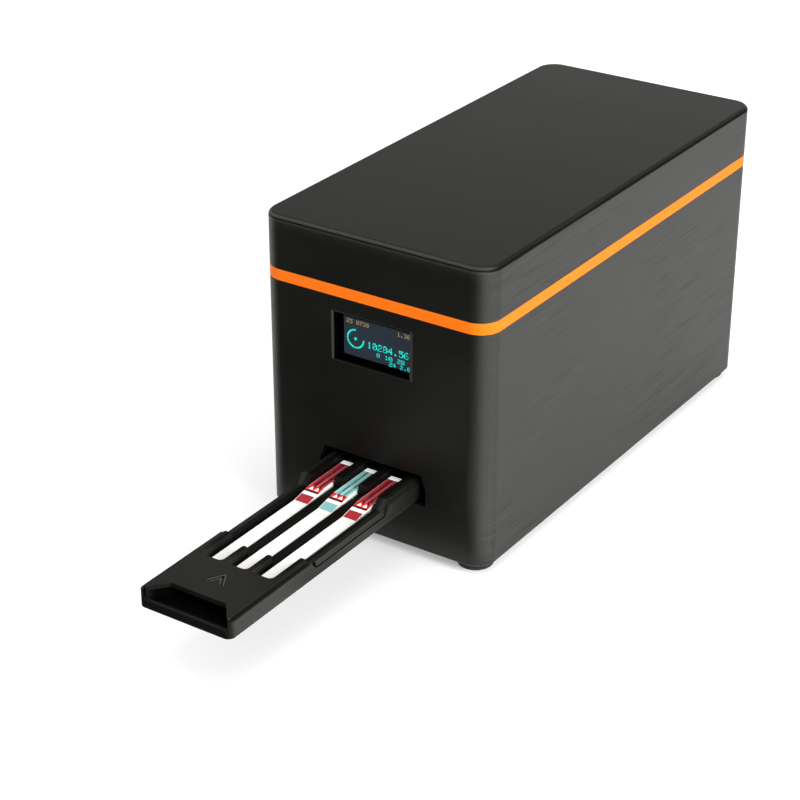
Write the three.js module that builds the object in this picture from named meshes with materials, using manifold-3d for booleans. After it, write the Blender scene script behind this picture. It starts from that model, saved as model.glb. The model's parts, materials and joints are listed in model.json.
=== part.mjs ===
// Bench-top rapid test reader: a printed plastic case with a small display, and a strip tray that
// slides out of a slot in the front.
//
// Units are millimetres, +Z is up and the display faces -Y. While it is built, the case's front face
// lies at y = 0 and its lower edge at z = 0. The last lines move the finished reader so that its
// origin is on the table, under the middle of its outline with the tray out.

import * as THREE from 'three';
import { mergeVertices } from 'three/addons/utils/BufferGeometryUtils.js';
import Module from 'manifold-3d';

const wasm = await Module();
wasm.setup();

// Fits shared by every piece
const fitGap = 0.3; // between a piece and what it drops into or slides along
const screwGap = 0.25; // between a screw and the hole that it passes
const overrun = 1; // how far a cutter runs past the face that it opens

// Case
const caseWidth = 70;
const caseDepth = 147.3;
const caseHeight = 85.1;
const cornerRadius = 6;
const caseWall = 2.4;
const baseChamfer = 0.5;
const topRound = 1.2;
const coverHeight = 14.9;
const bandHeight = 3.2;
const bandLip = 1.2;
const bandLipReach = 2;

// Base plate, its corner fixings and the feet
const basePlateThickness = 4;
const cornerBossRadius = 3.4;
const cornerBossHeight = 8;
const footRadius = 5;
const footHeight = 2.3;
const footRecess = 0.5;
const footSpigotRadius = 3.3;
const footEase = 0.7;
const spigotEdge = 0.25;

// Cover fixings
const coverPostRadius = 3.2;
const coverPostGap = 0.9;
const coverPostFromEnd = 30;
const coverBossHeight = 8;

// Display, its board and the window in front of it
const glassWidth = 26.7;
const glassHeight = 19.3;
const glassThickness = 1.45;
const glassDrop = 0.5;
const windowSideLap = 1.55;
const windowTopLap = 1.8;
const windowFootLap = 4.1;
const displaySeatGap = 0.1;
const boardThickness = 1.6;
const displayScrewInset = 2.6;
const displayBossRadius = 2;
const displayBossGap = 0.45;
const displayBoardEdge = 0.2;

// Drawer slot in the front wall, by the room that it leaves round the tray
const slotSideGap = 2.5;
const slotHeadSideGap = 1;
const slotHeadGap = 1.8;
const slotBevelHeight = 3.8;
const slotFloorGap = 0.9;

// Tray, measured with the drawer out as it rests
const trayHalf = 14;
const trayReach = 79;
const trayTail = 38;
const trayTravelIn = 69;
const trayTravelOut = 12;
const trayCorner = 2;
const trayUnderside = 14.55;
const trayFloor = 1.3;
const trayRim = 0.9;
const rimHeight = 4.5;
const rimLength = 32.5;
const rimRamp = 2.1;
const sideHeight = 2.3;
const runnerReach = 1.4;
const flagThickness = 1.2;
const flagLength = 8;
const flagHeight = 5.4;
const flagOffset = 8;
const catchHalf = 3.5;
const catchDrop = 2.2;
const catchLength = 4;
const catchReach = 16;
const catchSlit = 0.8;

// Strip holder that lies in the tray: its floor and the plate that bridges the strips
const holderFloor = 1;
const holderSeam = 0.3;
const plateRise = 0.7;
const plateThickness = 2;
const baySetback = 20.6;
const bayLength = 12;
const bayRound = 1.3;
const tongueHalf = 0.725;
const tongueLength = 8.8;
const tongueRound = 0.6;
const lipSetback = 5.8;
const lipThickness = 1.2;
const lipSlope = 0.4;
const mouthDepth = 7.2;
const notchShoulder = 0.5;
const notchFlare = 3.8;
const arrowOffset = 0.4;
const arrowSetback = 15.8;
const arrowLength = 4;
const arrowHalf = 2.3;
const arrowStroke = 0.6;
const arrowDepth = 0.4;

// Strip holder: its channels, low walls and raised guides
const channelClearance = 0.25;
const lowWallGap = 0.9;
const lowWallInset = 0.7;
const lowWallBevel = 0.5;
const lowWallStep = 1.4;
const lowDividerGap = 0.55;
const lowDividerStep = 0.4;
const guideGap = 0.3;
const guideRise = 0.9;
const guideLead = 16.2;
const guideRamp = 2.7;
const guideDividerGap = 0.45;
const dividerLead = 11.3;
const dividerRamp = 0.5;
const flareReach = 0.3;
const flareStep = 0.3;
const flareBevel = 0.6;
const flareLag = 0.4;
const flareRamp = 1.9;
const stripEndGap = 0.7;
const endWallThickness = 6.2;
const endWallStep = 1.8;

// Test strips
const stripWidth = 4.4;
const stripPitch = 7.65;
const stripThickness = 0.6;
const stripSetback = 15;
const stripLength = 65.1;
const padLength = 22.6;
const padTaper = 7.5;
const padThickness = 1.4;
const padEndThickness = 1.5;

// Guide rails
const railLedge = 2.8;
const railLedgeDepth = 1.5;
const railWeb = 5;
const railFlange = 5;
const railFlangeHeight = 3;
const railHeadroom = 1;
const railEndGap = 2.5;
const railScrewInset = 6.8;

// Optics hood, camera and lamps
const hoodSetback = 2.8;
const hoodLength = 52;
const hoodHeight = 36.8;
const hoodWall = 1.6;
const hoodRoof = 2;
const hoodFlangeHeight = 2;
const hoodScrewInset = 4;
const cameraBoardSize = 25;
const lensRadius = 4.2;
const lensCollarRadius = 5.2;
const lensCollarHeight = 2.4;
const lensLength = 9;
const lampBoardThickness = 1.2;
const lampBoardHeight = 8;
const lampEndGap = 2.4;
const lampRise = 12;
const lampCount = 5;
const lampSize = 3;
const lampHeight = 0.9;

// Rear stop and position sensor
const stopHalf = 5;
const stopThickness = 3;
const stopLip = 1.25;
const bumperThickness = 1.5;
const bumperHeight = 3;
const sensorWidth = 8;
const sensorLength = 6;
const sensorHeight = 10;
const sensorRise = 2.6;
const sensorSlotDepth = 7;
const flagGap = 0.4;

// Main board
const mainBoardFrontLap = 5.1;
const mainBoardRearGap = 1.4;
const boardPostRadius = 3;
const boardPostGap = 1;
const boardScrewInset = 3.6;
const boardScrewRearInset = 12;
const processorWidth = 18;
const processorLength = 22;
const processorHeight = 2.6;
const processorCorner = 1.2;

// Socket and power switch in the back wall
const socketWidth = 8.9;
const socketHeight = 3.2;
const socketLength = 7.4;
const socketShell = 0.35;
const socketOffset = -12;
const socketTongue = 0.7;
const switchOffset = 14;
const switchPlaceShare = 0.54;
const switchBodyWidth = 12.6;
const switchBodyHeight = 19;
const switchBodyDepth = 14;
const switchSkin = 0.5;
const switchEndWall = 2.3;
const bezelSideLap = 1.2;
const bezelEndLap = 1;
const bezelThickness = 1.8;
const bezelCorner = 1.5;
const rockerRise = 2.4;
const rockerDip = 1.2;
const rockerSkirt = 1.4;
const rockerTilt = 11;
const rockerPivotDepth = 0.6;
const rockerPinRadius = 1.1;
const rockerPinLength = 0.8;

// Screws, by the radius and height of the head and the radius of the shank
const m3Head = 2.8;
const m3HeadHeight = 1.7;
const m3Shank = 1.5;
const m2Head = 1.6;
const m2HeadHeight = 1.1;
const m2Shank = 0.9;
const baseScrewLength = 9;
const coverScrewLength = 15;
const railScrewLength = 5.6;
const hoodScrewLength = 7;
const boardScrewLength = 8;
const displayScrewLength = 3.4;
const socketRadiusShare = 0.45;
const socketDepthShare = 0.6;

// Steps per quarter turn on rounded corners and on small round pieces
const cornerSteps = 8;
const roundSteps = 3;

// Finishes
const finish = (color, roughness, metalness = 0) =>
  new THREE.MeshStandardMaterial({ color, roughness, metalness });
const caseBlack = finish(0x2b2b29, 0.55);
const trayBlack = finish(0x2f2f2c, 0.5);
const orange = finish(0xff7a00, 0.45);
const rubber = finish(0x1c1c1b, 0.85);
const steel = finish(0x8d9096, 0.3, 1);
const boardGreen = finish(0x1d4b33, 0.5);
const displayBlue = finish(0x0b1626, 0.1);
const chipBlack = finish(0x1a1a1c, 0.4);
const lampWhite = finish(0xf3f1e6, 0.4);
const stripWhite = finish(0xf4f3f1, 0.8);
const labelRed = finish(0xb23a48, 0.6);
const labelTeal = finish(0x8cc9c4, 0.6);
const switchBlack = finish(0x151515, 0.35);

// Case, display and fixings: values that several pieces share
const halfWidth = caseWidth / 2;
const insideRear = caseDepth - caseWall;
const coverFloor = caseHeight - coverHeight;
const bandFloor = coverFloor - bandHeight;
const bandLipFloor = bandFloor - bandLipReach;
const bandLipInner = caseWall + fitGap + bandLip;
const cornerInset = caseWall + fitGap + spigotEdge + screwGap + footSpigotRadius;
const coverPostX = halfWidth - bandLipInner - coverPostGap - coverPostRadius;
const coverBossTop = bandLipFloor - fitGap;
const baseScrewSeat = footRecess + screwGap + m3HeadHeight;
const glassTop = bandLipFloor - glassDrop;
const glassFloor = glassTop - glassHeight;
const glassFront = caseWall + displaySeatGap;
const displayBoardFront = glassFront + glassThickness;
const displayBoardRear = displayBoardFront + boardThickness;
const displayScrewX = glassWidth / 2 + displayBossGap + displayBossRadius;
const displayBoardHalf = displayScrewX + displayBossRadius + displayBoardEdge;

// Tray and strip holder
const trayFloorTop = trayUnderside + trayFloor;
const sideTop = trayUnderside + sideHeight;
const rimTop = trayUnderside + rimHeight;
const rimEnd = rimLength - trayReach;
const runnerHalf = trayHalf + runnerReach;
const catchFront = caseWall + trayTravelOut + fitGap;
const closedTail = trayTail + trayTravelIn;
const holderHalf = trayHalf - trayRim - holderSeam;
const holderFront = trayRim + holderSeam - trayReach;
const channelFloor = trayFloorTop + holderFloor;
const channelHalf = stripWidth / 2 + channelClearance;
const plateTop = rimTop + plateRise;
const lipFront = lipSetback - trayReach;
const mouthHalf = holderHalf - notchShoulder - notchFlare;
const bayFront = baySetback - trayReach;
const bayHalf = stripPitch / 2 - tongueHalf;
const armEnd = bayFront + bayLength;
const tongueEnd = bayFront + tongueLength;
const lowWallTop = plateTop - lowWallStep;
const lowWallOuter = trayHalf - lowWallInset;
const guideTop = plateTop + guideRise;
const guideInner = stripPitch + channelHalf + guideGap;
const flareOuter = trayHalf + flareReach;

// Test strips
const stripCentres = [-stripPitch, 0, stripPitch];
const stripTop = channelFloor + stripThickness;
const stripFront = stripSetback - trayReach;
const stripRear = stripFront + stripLength;
const rampStart = stripRear - guideLead;
const dividerStart = stripRear - dividerLead;
const endWallFront = stripRear + stripEndGap;
const holderRear = endWallFront + endWallThickness;

// Inside: boards, rails and hood
const mainBoardRear = insideRear - mainBoardRearGap;
const sensorFront = closedTail - flagLength / 2 - sensorLength;
const mainBoardFront = sensorFront - mainBoardFrontLap;
const mainBoardUnderside = trayFloorTop + sensorRise + sensorHeight;
const mainBoardTop = mainBoardUnderside + boardThickness;
const switchRise = mainBoardTop + switchPlaceShare * (bandFloor - mainBoardTop);
const boardPostX = runnerHalf + boardPostGap + boardPostRadius;
const boardPostFront = mainBoardFront + boardScrewInset;
const bumperMiddle = trayUnderside + trayFloor / 2;
const trackHalf = flareOuter + fitGap;
const webOuter = trackHalf + railWeb;
const railTop = guideTop + railHeadroom;
const railFront = cornerInset + cornerBossRadius + fitGap;
const railRear = boardPostFront - boardPostRadius - railEndGap;
const railFlangeTop = basePlateThickness + railFlangeHeight;
const hoodOuter = trackHalf + hoodWall;
const hoodTop = railTop + hoodHeight;
const hoodFlangeTop = railTop + hoodFlangeHeight;
const hoodFront = railFront + hoodSetback;
const hoodRear = hoodFront + hoodLength;
const hoodMiddle = hoodFront + hoodLength / 2;
const sides = [-1, 1];

// Places of everything that comes in fours: left then right, and front then rear or lower then upper
const fourPlaces = (x, pair) => sides.flatMap((side) => pair.map((other) => [side * x, other]));
const cornerPlaces = fourPlaces(halfWidth - cornerInset, [cornerInset, caseDepth - cornerInset]);
const coverPostPlaces = fourPlaces(coverPostX, [coverPostFromEnd, caseDepth - coverPostFromEnd]);
const railScrewPlaces = fourPlaces(webOuter + railFlange / 2,
  [railFront + railScrewInset, railRear - railScrewInset]);
const hoodScrewPlaces = fourPlaces((hoodOuter + webOuter) / 2,
  [hoodFront + hoodScrewInset, hoodRear - hoodScrewInset]);
const boardPostPlaces = fourPlaces(boardPostX, [boardPostFront, mainBoardRear - boardScrewRearInset]);
const displayScrewPlaces = fourPlaces(displayScrewX,
  [glassFloor + displayScrewInset, glassTop - displayScrewInset]);
const cornerNames = ['left_front', 'left_rear', 'right_front', 'right_rear'];
const facingNames = ['left_lower', 'left_upper', 'right_lower', 'right_upper'];

// A closed three.js geometry as a solid that can be joined and cut
function solid(geometry) {
  const bare = geometry.index ? geometry.toNonIndexed() : geometry.clone();
  bare.deleteAttribute('normal');
  bare.deleteAttribute('uv');
  const merged = mergeVertices(bare);
  return new wasm.Manifold(new wasm.Mesh({
    numProp: 3,
    vertProperties: new Float32Array(merged.attributes.position.array),
    triVerts: new Uint32Array(merged.index.array),
  }));
}

const join = (first, ...rest) => rest.reduce((sum, piece) => sum.add(piece), first);
const cut = (first, ...rest) => rest.reduce((sum, piece) => sum.subtract(piece), first);

function mesh(name, body, material) {
  const data = body.getMesh();
  const flat = new THREE.BufferGeometry();
  flat.setAttribute('position', new THREE.BufferAttribute(new Float32Array(data.vertProperties), 3));
  flat.setIndex(new THREE.BufferAttribute(new Uint32Array(data.triVerts), 1));
  const geometry = flat.toNonIndexed();
  geometry.computeVertexNormals();
  const piece = new THREE.Mesh(geometry, material);
  piece.name = name;
  return piece;
}

function block(x0, x1, y0, y1, z0, z1) {
  const geometry = new THREE.BoxGeometry(x1 - x0, y1 - y0, z1 - z0);
  geometry.translate((x0 + x1) / 2, (y0 + y1) / 2, (z0 + z1) / 2);
  return solid(geometry);
}

// A plan outline, in x and y, raised from z0 to z1
function raise(shape, z0, z1, curveSegments = cornerSteps) {
  const geometry = new THREE.ExtrudeGeometry(shape, {
    depth: z1 - z0, bevelEnabled: false, curveSegments,
  });
  geometry.translate(0, 0, z0);
  return solid(geometry);
}

// An outline in y and z, drawn from x0 to x1
function across(points, x0, x1) {
  const shape = new THREE.Shape(points.map(([y, z]) => new THREE.Vector2(y, z)));
  const geometry = new THREE.ExtrudeGeometry(shape, { depth: x1 - x0, bevelEnabled: false });
  geometry.applyMatrix4(new THREE.Matrix4().makeBasis(
    new THREE.Vector3(0, 1, 0), new THREE.Vector3(0, 0, 1), new THREE.Vector3(1, 0, 0)));
  geometry.translate(x0, 0, 0);
  return solid(geometry);
}

// An outline in x and z, drawn from y0 to y1
function along(points, y0, y1) {
  const shape = new THREE.Shape(points.map(([x, z]) => new THREE.Vector2(x, z)));
  const geometry = new THREE.ExtrudeGeometry(shape, { depth: y1 - y0, bevelEnabled: false });
  geometry.applyMatrix4(new THREE.Matrix4().makeBasis(
    new THREE.Vector3(1, 0, 0), new THREE.Vector3(0, 0, 1), new THREE.Vector3(0, -1, 0)));
  geometry.translate(0, y1, 0);
  return solid(geometry);
}

// An outline in x and z for the right-hand side, or its mirror image for the left
function mirrored(points, side) {
  return side > 0 ? points : points.map(([x, z]) => [-x, z]).reverse();
}

// A profile of radius and height, turned about a vertical axis at x and y
function turned(profile, x = 0, y = 0, steps = roundSteps * 4) {
  const points = profile.map(([r, z]) => new THREE.Vector2(r, z));
  const geometry = new THREE.LatheGeometry(points, steps);
  geometry.rotateX(Math.PI / 2);
  geometry.translate(x, y, 0);
  return solid(geometry);
}

const post = (radius, x, y, z0, z1, steps) =>
  turned([[0, z0], [radius, z0], [radius, z1], [0, z1]], x, y, steps);

// The case's plan outline, drawn in by a margin
function caseOutline(margin) {
  return roundedPlan(-halfWidth + margin, halfWidth - margin, margin, caseDepth - margin,
    Math.max(cornerRadius - margin, margin / 2));
}

function roundedPlan(x0, x1, y0, y1, radius) {
  const shape = new THREE.Shape();
  shape.moveTo(x0 + radius, y0);
  shape.lineTo(x1 - radius, y0);
  shape.absarc(x1 - radius, y0 + radius, radius, -Math.PI / 2, 0);
  shape.lineTo(x1, y1 - radius);
  shape.absarc(x1 - radius, y1 - radius, radius, 0, Math.PI / 2);
  shape.lineTo(x0 + radius, y1);
  shape.absarc(x0 + radius, y1 - radius, radius, Math.PI / 2, Math.PI);
  shape.lineTo(x0, y0 + radius);
  shape.absarc(x0 + radius, y0 + radius, radius, Math.PI, Math.PI * 3 / 2);
  return shape;
}

// The case's outline with both ends of the extrusion eased by the same amount
function easedCase(z0, z1, ease, easeSteps) {
  const geometry = new THREE.ExtrudeGeometry(caseOutline(0), {
    depth: z1 - z0 - 2 * ease, bevelEnabled: true, bevelThickness: ease, bevelSize: ease,
    bevelOffset: -ease, bevelSegments: easeSteps, curveSegments: cornerSteps,
  });
  geometry.translate(0, 0, z0 + ease);
  return solid(geometry);
}

const aboveCase = (z0) => block(-caseWidth, caseWidth, -caseDepth, 2 * caseDepth, z0, 2 * caseHeight);
const belowCase = (z1) => block(-caseWidth, caseWidth, -caseDepth, 2 * caseDepth, -caseHeight, z1);

// A screw whose head rests at z and whose shank points down, or up where up is true
function screw(name, x, y, z, head, headHeight, shank, length, up = false) {
  const turn = up ? -1 : 1;
  const profile = [[0, z - turn * length], [shank, z - turn * length], [shank, z], [head, z],
    [head, z + turn * headHeight], [head * socketRadiusShare, z + turn * headHeight],
    [head * socketRadiusShare, z + turn * headHeight * (1 - socketDepthShare)],
    [0, z + turn * headHeight * (1 - socketDepthShare)]];
  return mesh(name, turned(up ? profile.reverse() : profile, x, y), steel);
}

// Shell of the case below the orange band, with its corner blocks, cover bosses and openings
function lowerHousing() {
  const outer = cut(easedCase(0, bandFloor + 2 * baseChamfer, baseChamfer, 1), aboveCase(bandFloor));
  const bossTop = basePlateThickness + cornerBossHeight;
  let body = cut(outer, raise(caseOutline(caseWall), -overrun, bandFloor + overrun));

  for (const [x, y] of cornerPlaces) {
    const wallX = Math.sign(x) * (halfWidth - caseWall / 2);
    const wallY = y < caseDepth / 2 ? caseWall / 2 : caseDepth - caseWall / 2;
    const filler = block(Math.min(x, wallX), Math.max(x, wallX), Math.min(y, wallY),
      Math.max(y, wallY), basePlateThickness, bossTop);
    const boss = join(filler, post(cornerBossRadius, x, y, basePlateThickness, bossTop));
    body = join(body, boss.intersect(outer));
    body = cut(body, post(m3Shank + screwGap, x, y, basePlateThickness - overrun, bossTop + overrun));
  }
  for (const [x, y] of coverPostPlaces) {
    const wallX = Math.sign(x) * (halfWidth - caseWall / 2);
    const floor = coverBossTop - coverBossHeight;
    const rib = block(Math.min(x, wallX), Math.max(x, wallX), y - coverPostRadius,
      y + coverPostRadius, floor, coverBossTop);
    body = join(body, rib, post(coverPostRadius, x, y, floor, coverBossTop));
    body = cut(body, post(m3Shank + screwGap, x, y, floor - overrun, coverBossTop + overrun));
  }

  const windowHalf = glassWidth / 2 - windowSideLap;
  body = cut(body, block(-windowHalf, windowHalf, -overrun, caseWall + overrun,
    glassFloor + windowFootLap, glassTop - windowTopLap));
  for (const [x, z] of displayScrewPlaces) {
    body = join(body, facingPost(displayBossRadius, x, z, caseWall / 2, displayBoardFront));
    body = cut(body, facingPost(m2Shank + screwGap, x, z, caseWall / 2, displayBoardFront + overrun));
  }

  const slotHalf = flareOuter + slotSideGap;
  const slotHeadHalf = flareOuter + slotHeadSideGap;
  const slotFloor = trayUnderside - slotFloorGap;
  const slotTop = guideTop + slotHeadGap;
  const slot = along([[-slotHalf, slotFloor], [slotHalf, slotFloor], [slotHalf, slotTop - slotBevelHeight],
    [slotHeadHalf, slotTop], [-slotHeadHalf, slotTop], [-slotHalf, slotTop - slotBevelHeight]],
  -overrun, caseWall + overrun);
  const socketCut = pillAlong(socketWidth / 2 + fitGap, socketHeight / 2 + fitGap, socketOffset,
    mainBoardTop + socketHeight / 2, insideRear - overrun, caseDepth + overrun);
  const switchCut = block(switchOffset - switchBodyWidth / 2 - fitGap,
    switchOffset + switchBodyWidth / 2 + fitGap, insideRear - overrun, caseDepth + overrun,
    switchRise - switchBodyHeight / 2 - fitGap, switchRise + switchBodyHeight / 2 + fitGap);
  return mesh('lower_housing', cut(body, slot, socketCut, switchCut), caseBlack);
}

// A round post whose axis runs along y
function facingPost(radius, x, z, y0, y1) {
  const geometry = new THREE.CylinderGeometry(radius, radius, y1 - y0, roundSteps * 4);
  geometry.translate(x, (y0 + y1) / 2, z);
  return solid(geometry);
}

// A pill-shaped bar along y, such as the socket and its opening
function pillAlong(halfLong, halfTall, x, z, y0, y1) {
  const points = [];
  for (let step = 0; step <= 2 * roundSteps; step += 1) {
    const angle = -Math.PI / 2 + Math.PI * step / (2 * roundSteps);
    points.push([halfLong - halfTall + halfTall * Math.cos(angle), halfTall * Math.sin(angle)]);
  }
  const ring = [...points, ...points.map(([px, pz]) => [-px, -pz])];
  return along(ring.map(([px, pz]) => [x + px, z + pz]), y0, y1);
}

// The orange ring between the housing and the cover, with a lip that locates both
function accentBand() {
  const lipTop = coverFloor + bandLipReach;
  const ring = raise(caseOutline(0), bandFloor, coverFloor);
  const lip = raise(caseOutline(caseWall + fitGap), bandLipFloor, lipTop);
  const hole = raise(caseOutline(bandLipInner), bandLipFloor - overrun, lipTop + overrun);
  return mesh('accent_band', cut(join(ring, lip), hole), orange);
}

function topCover() {
  const outer = cut(easedCase(caseHeight - 2 * coverHeight, caseHeight, topRound, roundSteps),
    belowCase(coverFloor));
  let body = cut(outer, raise(caseOutline(caseWall), coverFloor - overrun, caseHeight - caseWall));
  for (const [x, y] of coverPostPlaces) {
    body = join(body, post(coverPostRadius, x, y, coverBossTop + fitGap, caseHeight - caseWall / 2));
    body = cut(body, post(m3Shank + screwGap, x, y, coverBossTop, caseHeight - 2 * caseWall));
  }
  return mesh('top_cover', body, caseBlack);
}

// Plate that closes the case from below and carries the rails, the board and the rear stop
function basePlate() {
  let body = raise(caseOutline(caseWall + fitGap), 0, basePlateThickness);
  for (const [x, y] of cornerPlaces) {
    body = cut(body, post(footSpigotRadius + screwGap, x, y, -overrun, footRecess + screwGap),
      post(m3Head + screwGap, x, y, 0, baseScrewSeat),
      post(m3Shank + screwGap, x, y, 0, basePlateThickness + overrun));
  }
  for (const [x, y] of boardPostPlaces) {
    body = join(body, post(boardPostRadius, x, y, basePlateThickness / 2, mainBoardUnderside));
    body = cut(body, post(m2Shank + screwGap, x, y, mainBoardUnderside - boardScrewLength,
      mainBoardUnderside + overrun));
  }
  for (const [x, y] of railScrewPlaces) {
    body = cut(body, post(m2Shank + screwGap, x, y, railFlangeTop - railScrewLength - screwGap,
      basePlateThickness + overrun));
  }
  const stopFace = closedTail + fitGap + bumperThickness;
  const stopTop = bumperMiddle + bumperHeight / 2 + stopLip;
  body = join(body, across([[stopFace, basePlateThickness / 2], [stopFace + 2 * stopThickness,
    basePlateThickness / 2], [stopFace + stopThickness, stopTop], [stopFace, stopTop]],
  -stopHalf, stopHalf));
  return mesh('base_plate', body, caseBlack);
}

function feet() {
  return cornerPlaces.map(([x, y], index) => {
    const inset = footEase * (1 - Math.SQRT1_2);
    const body = turned([[0, -footHeight], [footRadius - footEase, -footHeight],
      [footRadius - inset, inset - footHeight], [footRadius, footEase - footHeight], [footRadius, 0],
      [footSpigotRadius, 0], [footSpigotRadius, footRecess], [0, footRecess]], x, y,
    cornerSteps * 3);
    return mesh(`foot_${cornerNames[index]}`, body, rubber);
  });
}

// Four upright screws, named by the corners that they hold
function screwSet(kind, places, seat, [head, headHeight, shank], length, up = false) {
  return places.map(([x, y], index) => screw(`${kind}_screw_${cornerNames[index]}`, x, y, seat,
    head, headHeight, shank, length, up));
}

function screws() {
  const m3 = [m3Head, m3HeadHeight, m3Shank];
  const m2 = [m2Head, m2HeadHeight, m2Shank];
  return [
    ...screwSet('base', cornerPlaces, baseScrewSeat, m3, baseScrewLength, true),
    ...screwSet('cover', coverPostPlaces, coverBossTop - coverBossHeight, m3, coverScrewLength, true),
    ...screwSet('rail', railScrewPlaces, railFlangeTop, m2, railScrewLength),
    ...screwSet('hood', hoodScrewPlaces, hoodFlangeTop, m2, hoodScrewLength),
    ...screwSet('board', boardPostPlaces, mainBoardTop, m2, boardScrewLength),
  ];
}

// Display: a glass panel behind the window, on a board that four screws hold to the front wall
function display() {
  const glass = block(-glassWidth / 2, glassWidth / 2, glassFront, displayBoardFront,
    glassFloor, glassTop);
  let board = block(-displayBoardHalf, displayBoardHalf, displayBoardFront, displayBoardRear,
    glassFloor, glassTop);
  const pieces = [mesh('display_glass', glass, displayBlue)];
  displayScrewPlaces.forEach(([x, z], index) => {
    board = cut(board, facingPost(m2Shank + screwGap, x, z, displayBoardFront - overrun,
      displayBoardRear + overrun));
    const fixing = screw(`display_screw_${facingNames[index]}`, 0, 0, 0, m2Head, m2HeadHeight,
      m2Shank, displayScrewLength);
    fixing.rotation.x = -Math.PI / 2;
    fixing.position.set(x, displayBoardRear, z);
    pieces.push(fixing);
  });
  pieces.push(mesh('display_board', board, boardGreen));
  return pieces;
}

// One rail: a ledge under the tray's edge, a groove for its runner, a web up to the hood and a
// flange screwed to the base plate
function guideRail(side) {
  const ledgeInner = trackHalf - railLedge;
  const ledgeTop = trayUnderside - fitGap;
  const ledgeUnder = ledgeTop - railLedgeDepth;
  const grooveHalf = runnerHalf + fitGap;
  const grooveTop = trayFloorTop + fitGap;
  const flangeOuter = webOuter + railFlange;
  const profile = [[ledgeInner, ledgeTop], [ledgeInner, ledgeUnder],
    [trackHalf, ledgeUnder - railLedge], [trackHalf, basePlateThickness],
    [flangeOuter, basePlateThickness], [flangeOuter, railFlangeTop], [webOuter, railFlangeTop],
    [webOuter, railTop], [trackHalf, railTop], [trackHalf, grooveTop], [grooveHalf, grooveTop],
    [grooveHalf, ledgeTop]];
  let body = along(mirrored(profile, side), railFront, railRear);
  for (const [x, y] of railScrewPlaces.filter(([place]) => place * side > 0)) {
    body = cut(body, post(m2Shank + screwGap, x, y, 0, railFlangeTop + overrun));
  }
  for (const [x, y] of hoodScrewPlaces.filter(([place]) => place * side > 0)) {
    body = cut(body, post(m2Shank + screwGap, x, y, hoodFlangeTop - hoodScrewLength - screwGap,
      railTop + overrun));
  }
  return mesh(side > 0 ? 'guide_rail_right' : 'guide_rail_left', body, caseBlack);
}

// Dark hood over the strips, open below, with the lens in its roof
function opticsHood() {
  const shell = block(-hoodOuter, hoodOuter, hoodFront, hoodRear, railTop, hoodTop);
  const flange = block(-webOuter, webOuter, hoodFront, hoodRear, railTop, hoodFlangeTop);
  const inside = block(-trackHalf, trackHalf, hoodFront + hoodWall, hoodRear - hoodWall,
    railTop - overrun, hoodTop - hoodRoof);
  let body = cut(join(shell, flange), inside,
    post(lensRadius + fitGap, 0, hoodMiddle, hoodTop - hoodRoof - overrun, hoodTop + overrun));
  for (const [x, y] of hoodScrewPlaces) {
    body = cut(body, post(m2Shank + screwGap, x, y, railTop - overrun, hoodFlangeTop + overrun));
  }
  return mesh('optics_hood', body, chipBlack);
}

function camera() {
  const half = cameraBoardSize / 2;
  const board = raise(roundedPlan(-half, half, hoodMiddle - half, hoodMiddle + half, m2Head),
    hoodTop, hoodTop + boardThickness);
  const lensTop = hoodTop - displaySeatGap;
  const barrel = turned([[0, lensTop - lensLength], [lensRadius * socketRadiusShare, lensTop - lensLength],
    [lensRadius, lensTop - lensLength + lensCollarHeight / 2], [lensRadius, lensTop],
    [0, lensTop]], 0, hoodMiddle, cornerSteps * 2);
  const collar = post(lensCollarRadius, 0, hoodMiddle, hoodTop - hoodRoof - fitGap - lensCollarHeight,
    hoodTop - hoodRoof - fitGap, cornerSteps * 2);
  return [mesh('camera_board', board, boardGreen), mesh('camera_lens', join(barrel, collar), chipBlack)];
}

// Lamp boards on the hood's two side walls, each with a row of lamps facing the strips
function lampBoards() {
  return sides.map((side) => {
    const wall = side * trackHalf;
    const face = side * (trackHalf - lampBoardThickness);
    const floor = railTop + lampRise;
    const front = hoodFront + hoodWall + lampEndGap;
    const rear = hoodRear - hoodWall - lampEndGap;
    let body = block(Math.min(wall, face), Math.max(wall, face), front, rear, floor,
      floor + lampBoardHeight);
    for (let lamp = 0; lamp < lampCount; lamp += 1) {
      const y = front + (rear - front) * (2 * lamp + 1) / (2 * lampCount);
      const tip = face - side * lampHeight;
      body = join(body, block(Math.min(wall, tip), Math.max(wall, tip), y - lampSize / 2,
        y + lampSize / 2, floor + (lampBoardHeight - lampSize) / 2,
        floor + (lampBoardHeight + lampSize) / 2));
    }
    return mesh(side > 0 ? 'lamp_board_right' : 'lamp_board_left', body, lampWhite);
  });
}

// Rubber pad on the rear stop, and the slotted sensor that sees the tray's flag
function stopAndSensor() {
  const face = closedTail + fitGap;
  const pad = block(-stopHalf, stopHalf, face, face + bumperThickness,
    bumperMiddle - bumperHeight / 2, bumperMiddle + bumperHeight / 2);
  const floor = trayFloorTop + sensorRise;
  const rear = sensorFront + sensorLength;
  const slotHalf = flagThickness / 2 + flagGap;
  const sensor = cut(block(flagOffset - sensorWidth / 2, flagOffset + sensorWidth / 2,
    sensorFront, rear, floor, mainBoardUnderside),
  block(flagOffset - slotHalf, flagOffset + slotHalf, sensorFront - overrun,
    rear + overrun, floor - overrun, floor + sensorSlotDepth));
  return [mesh('stop_bumper', pad, rubber), mesh('position_sensor', sensor, chipBlack)];
}

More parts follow.
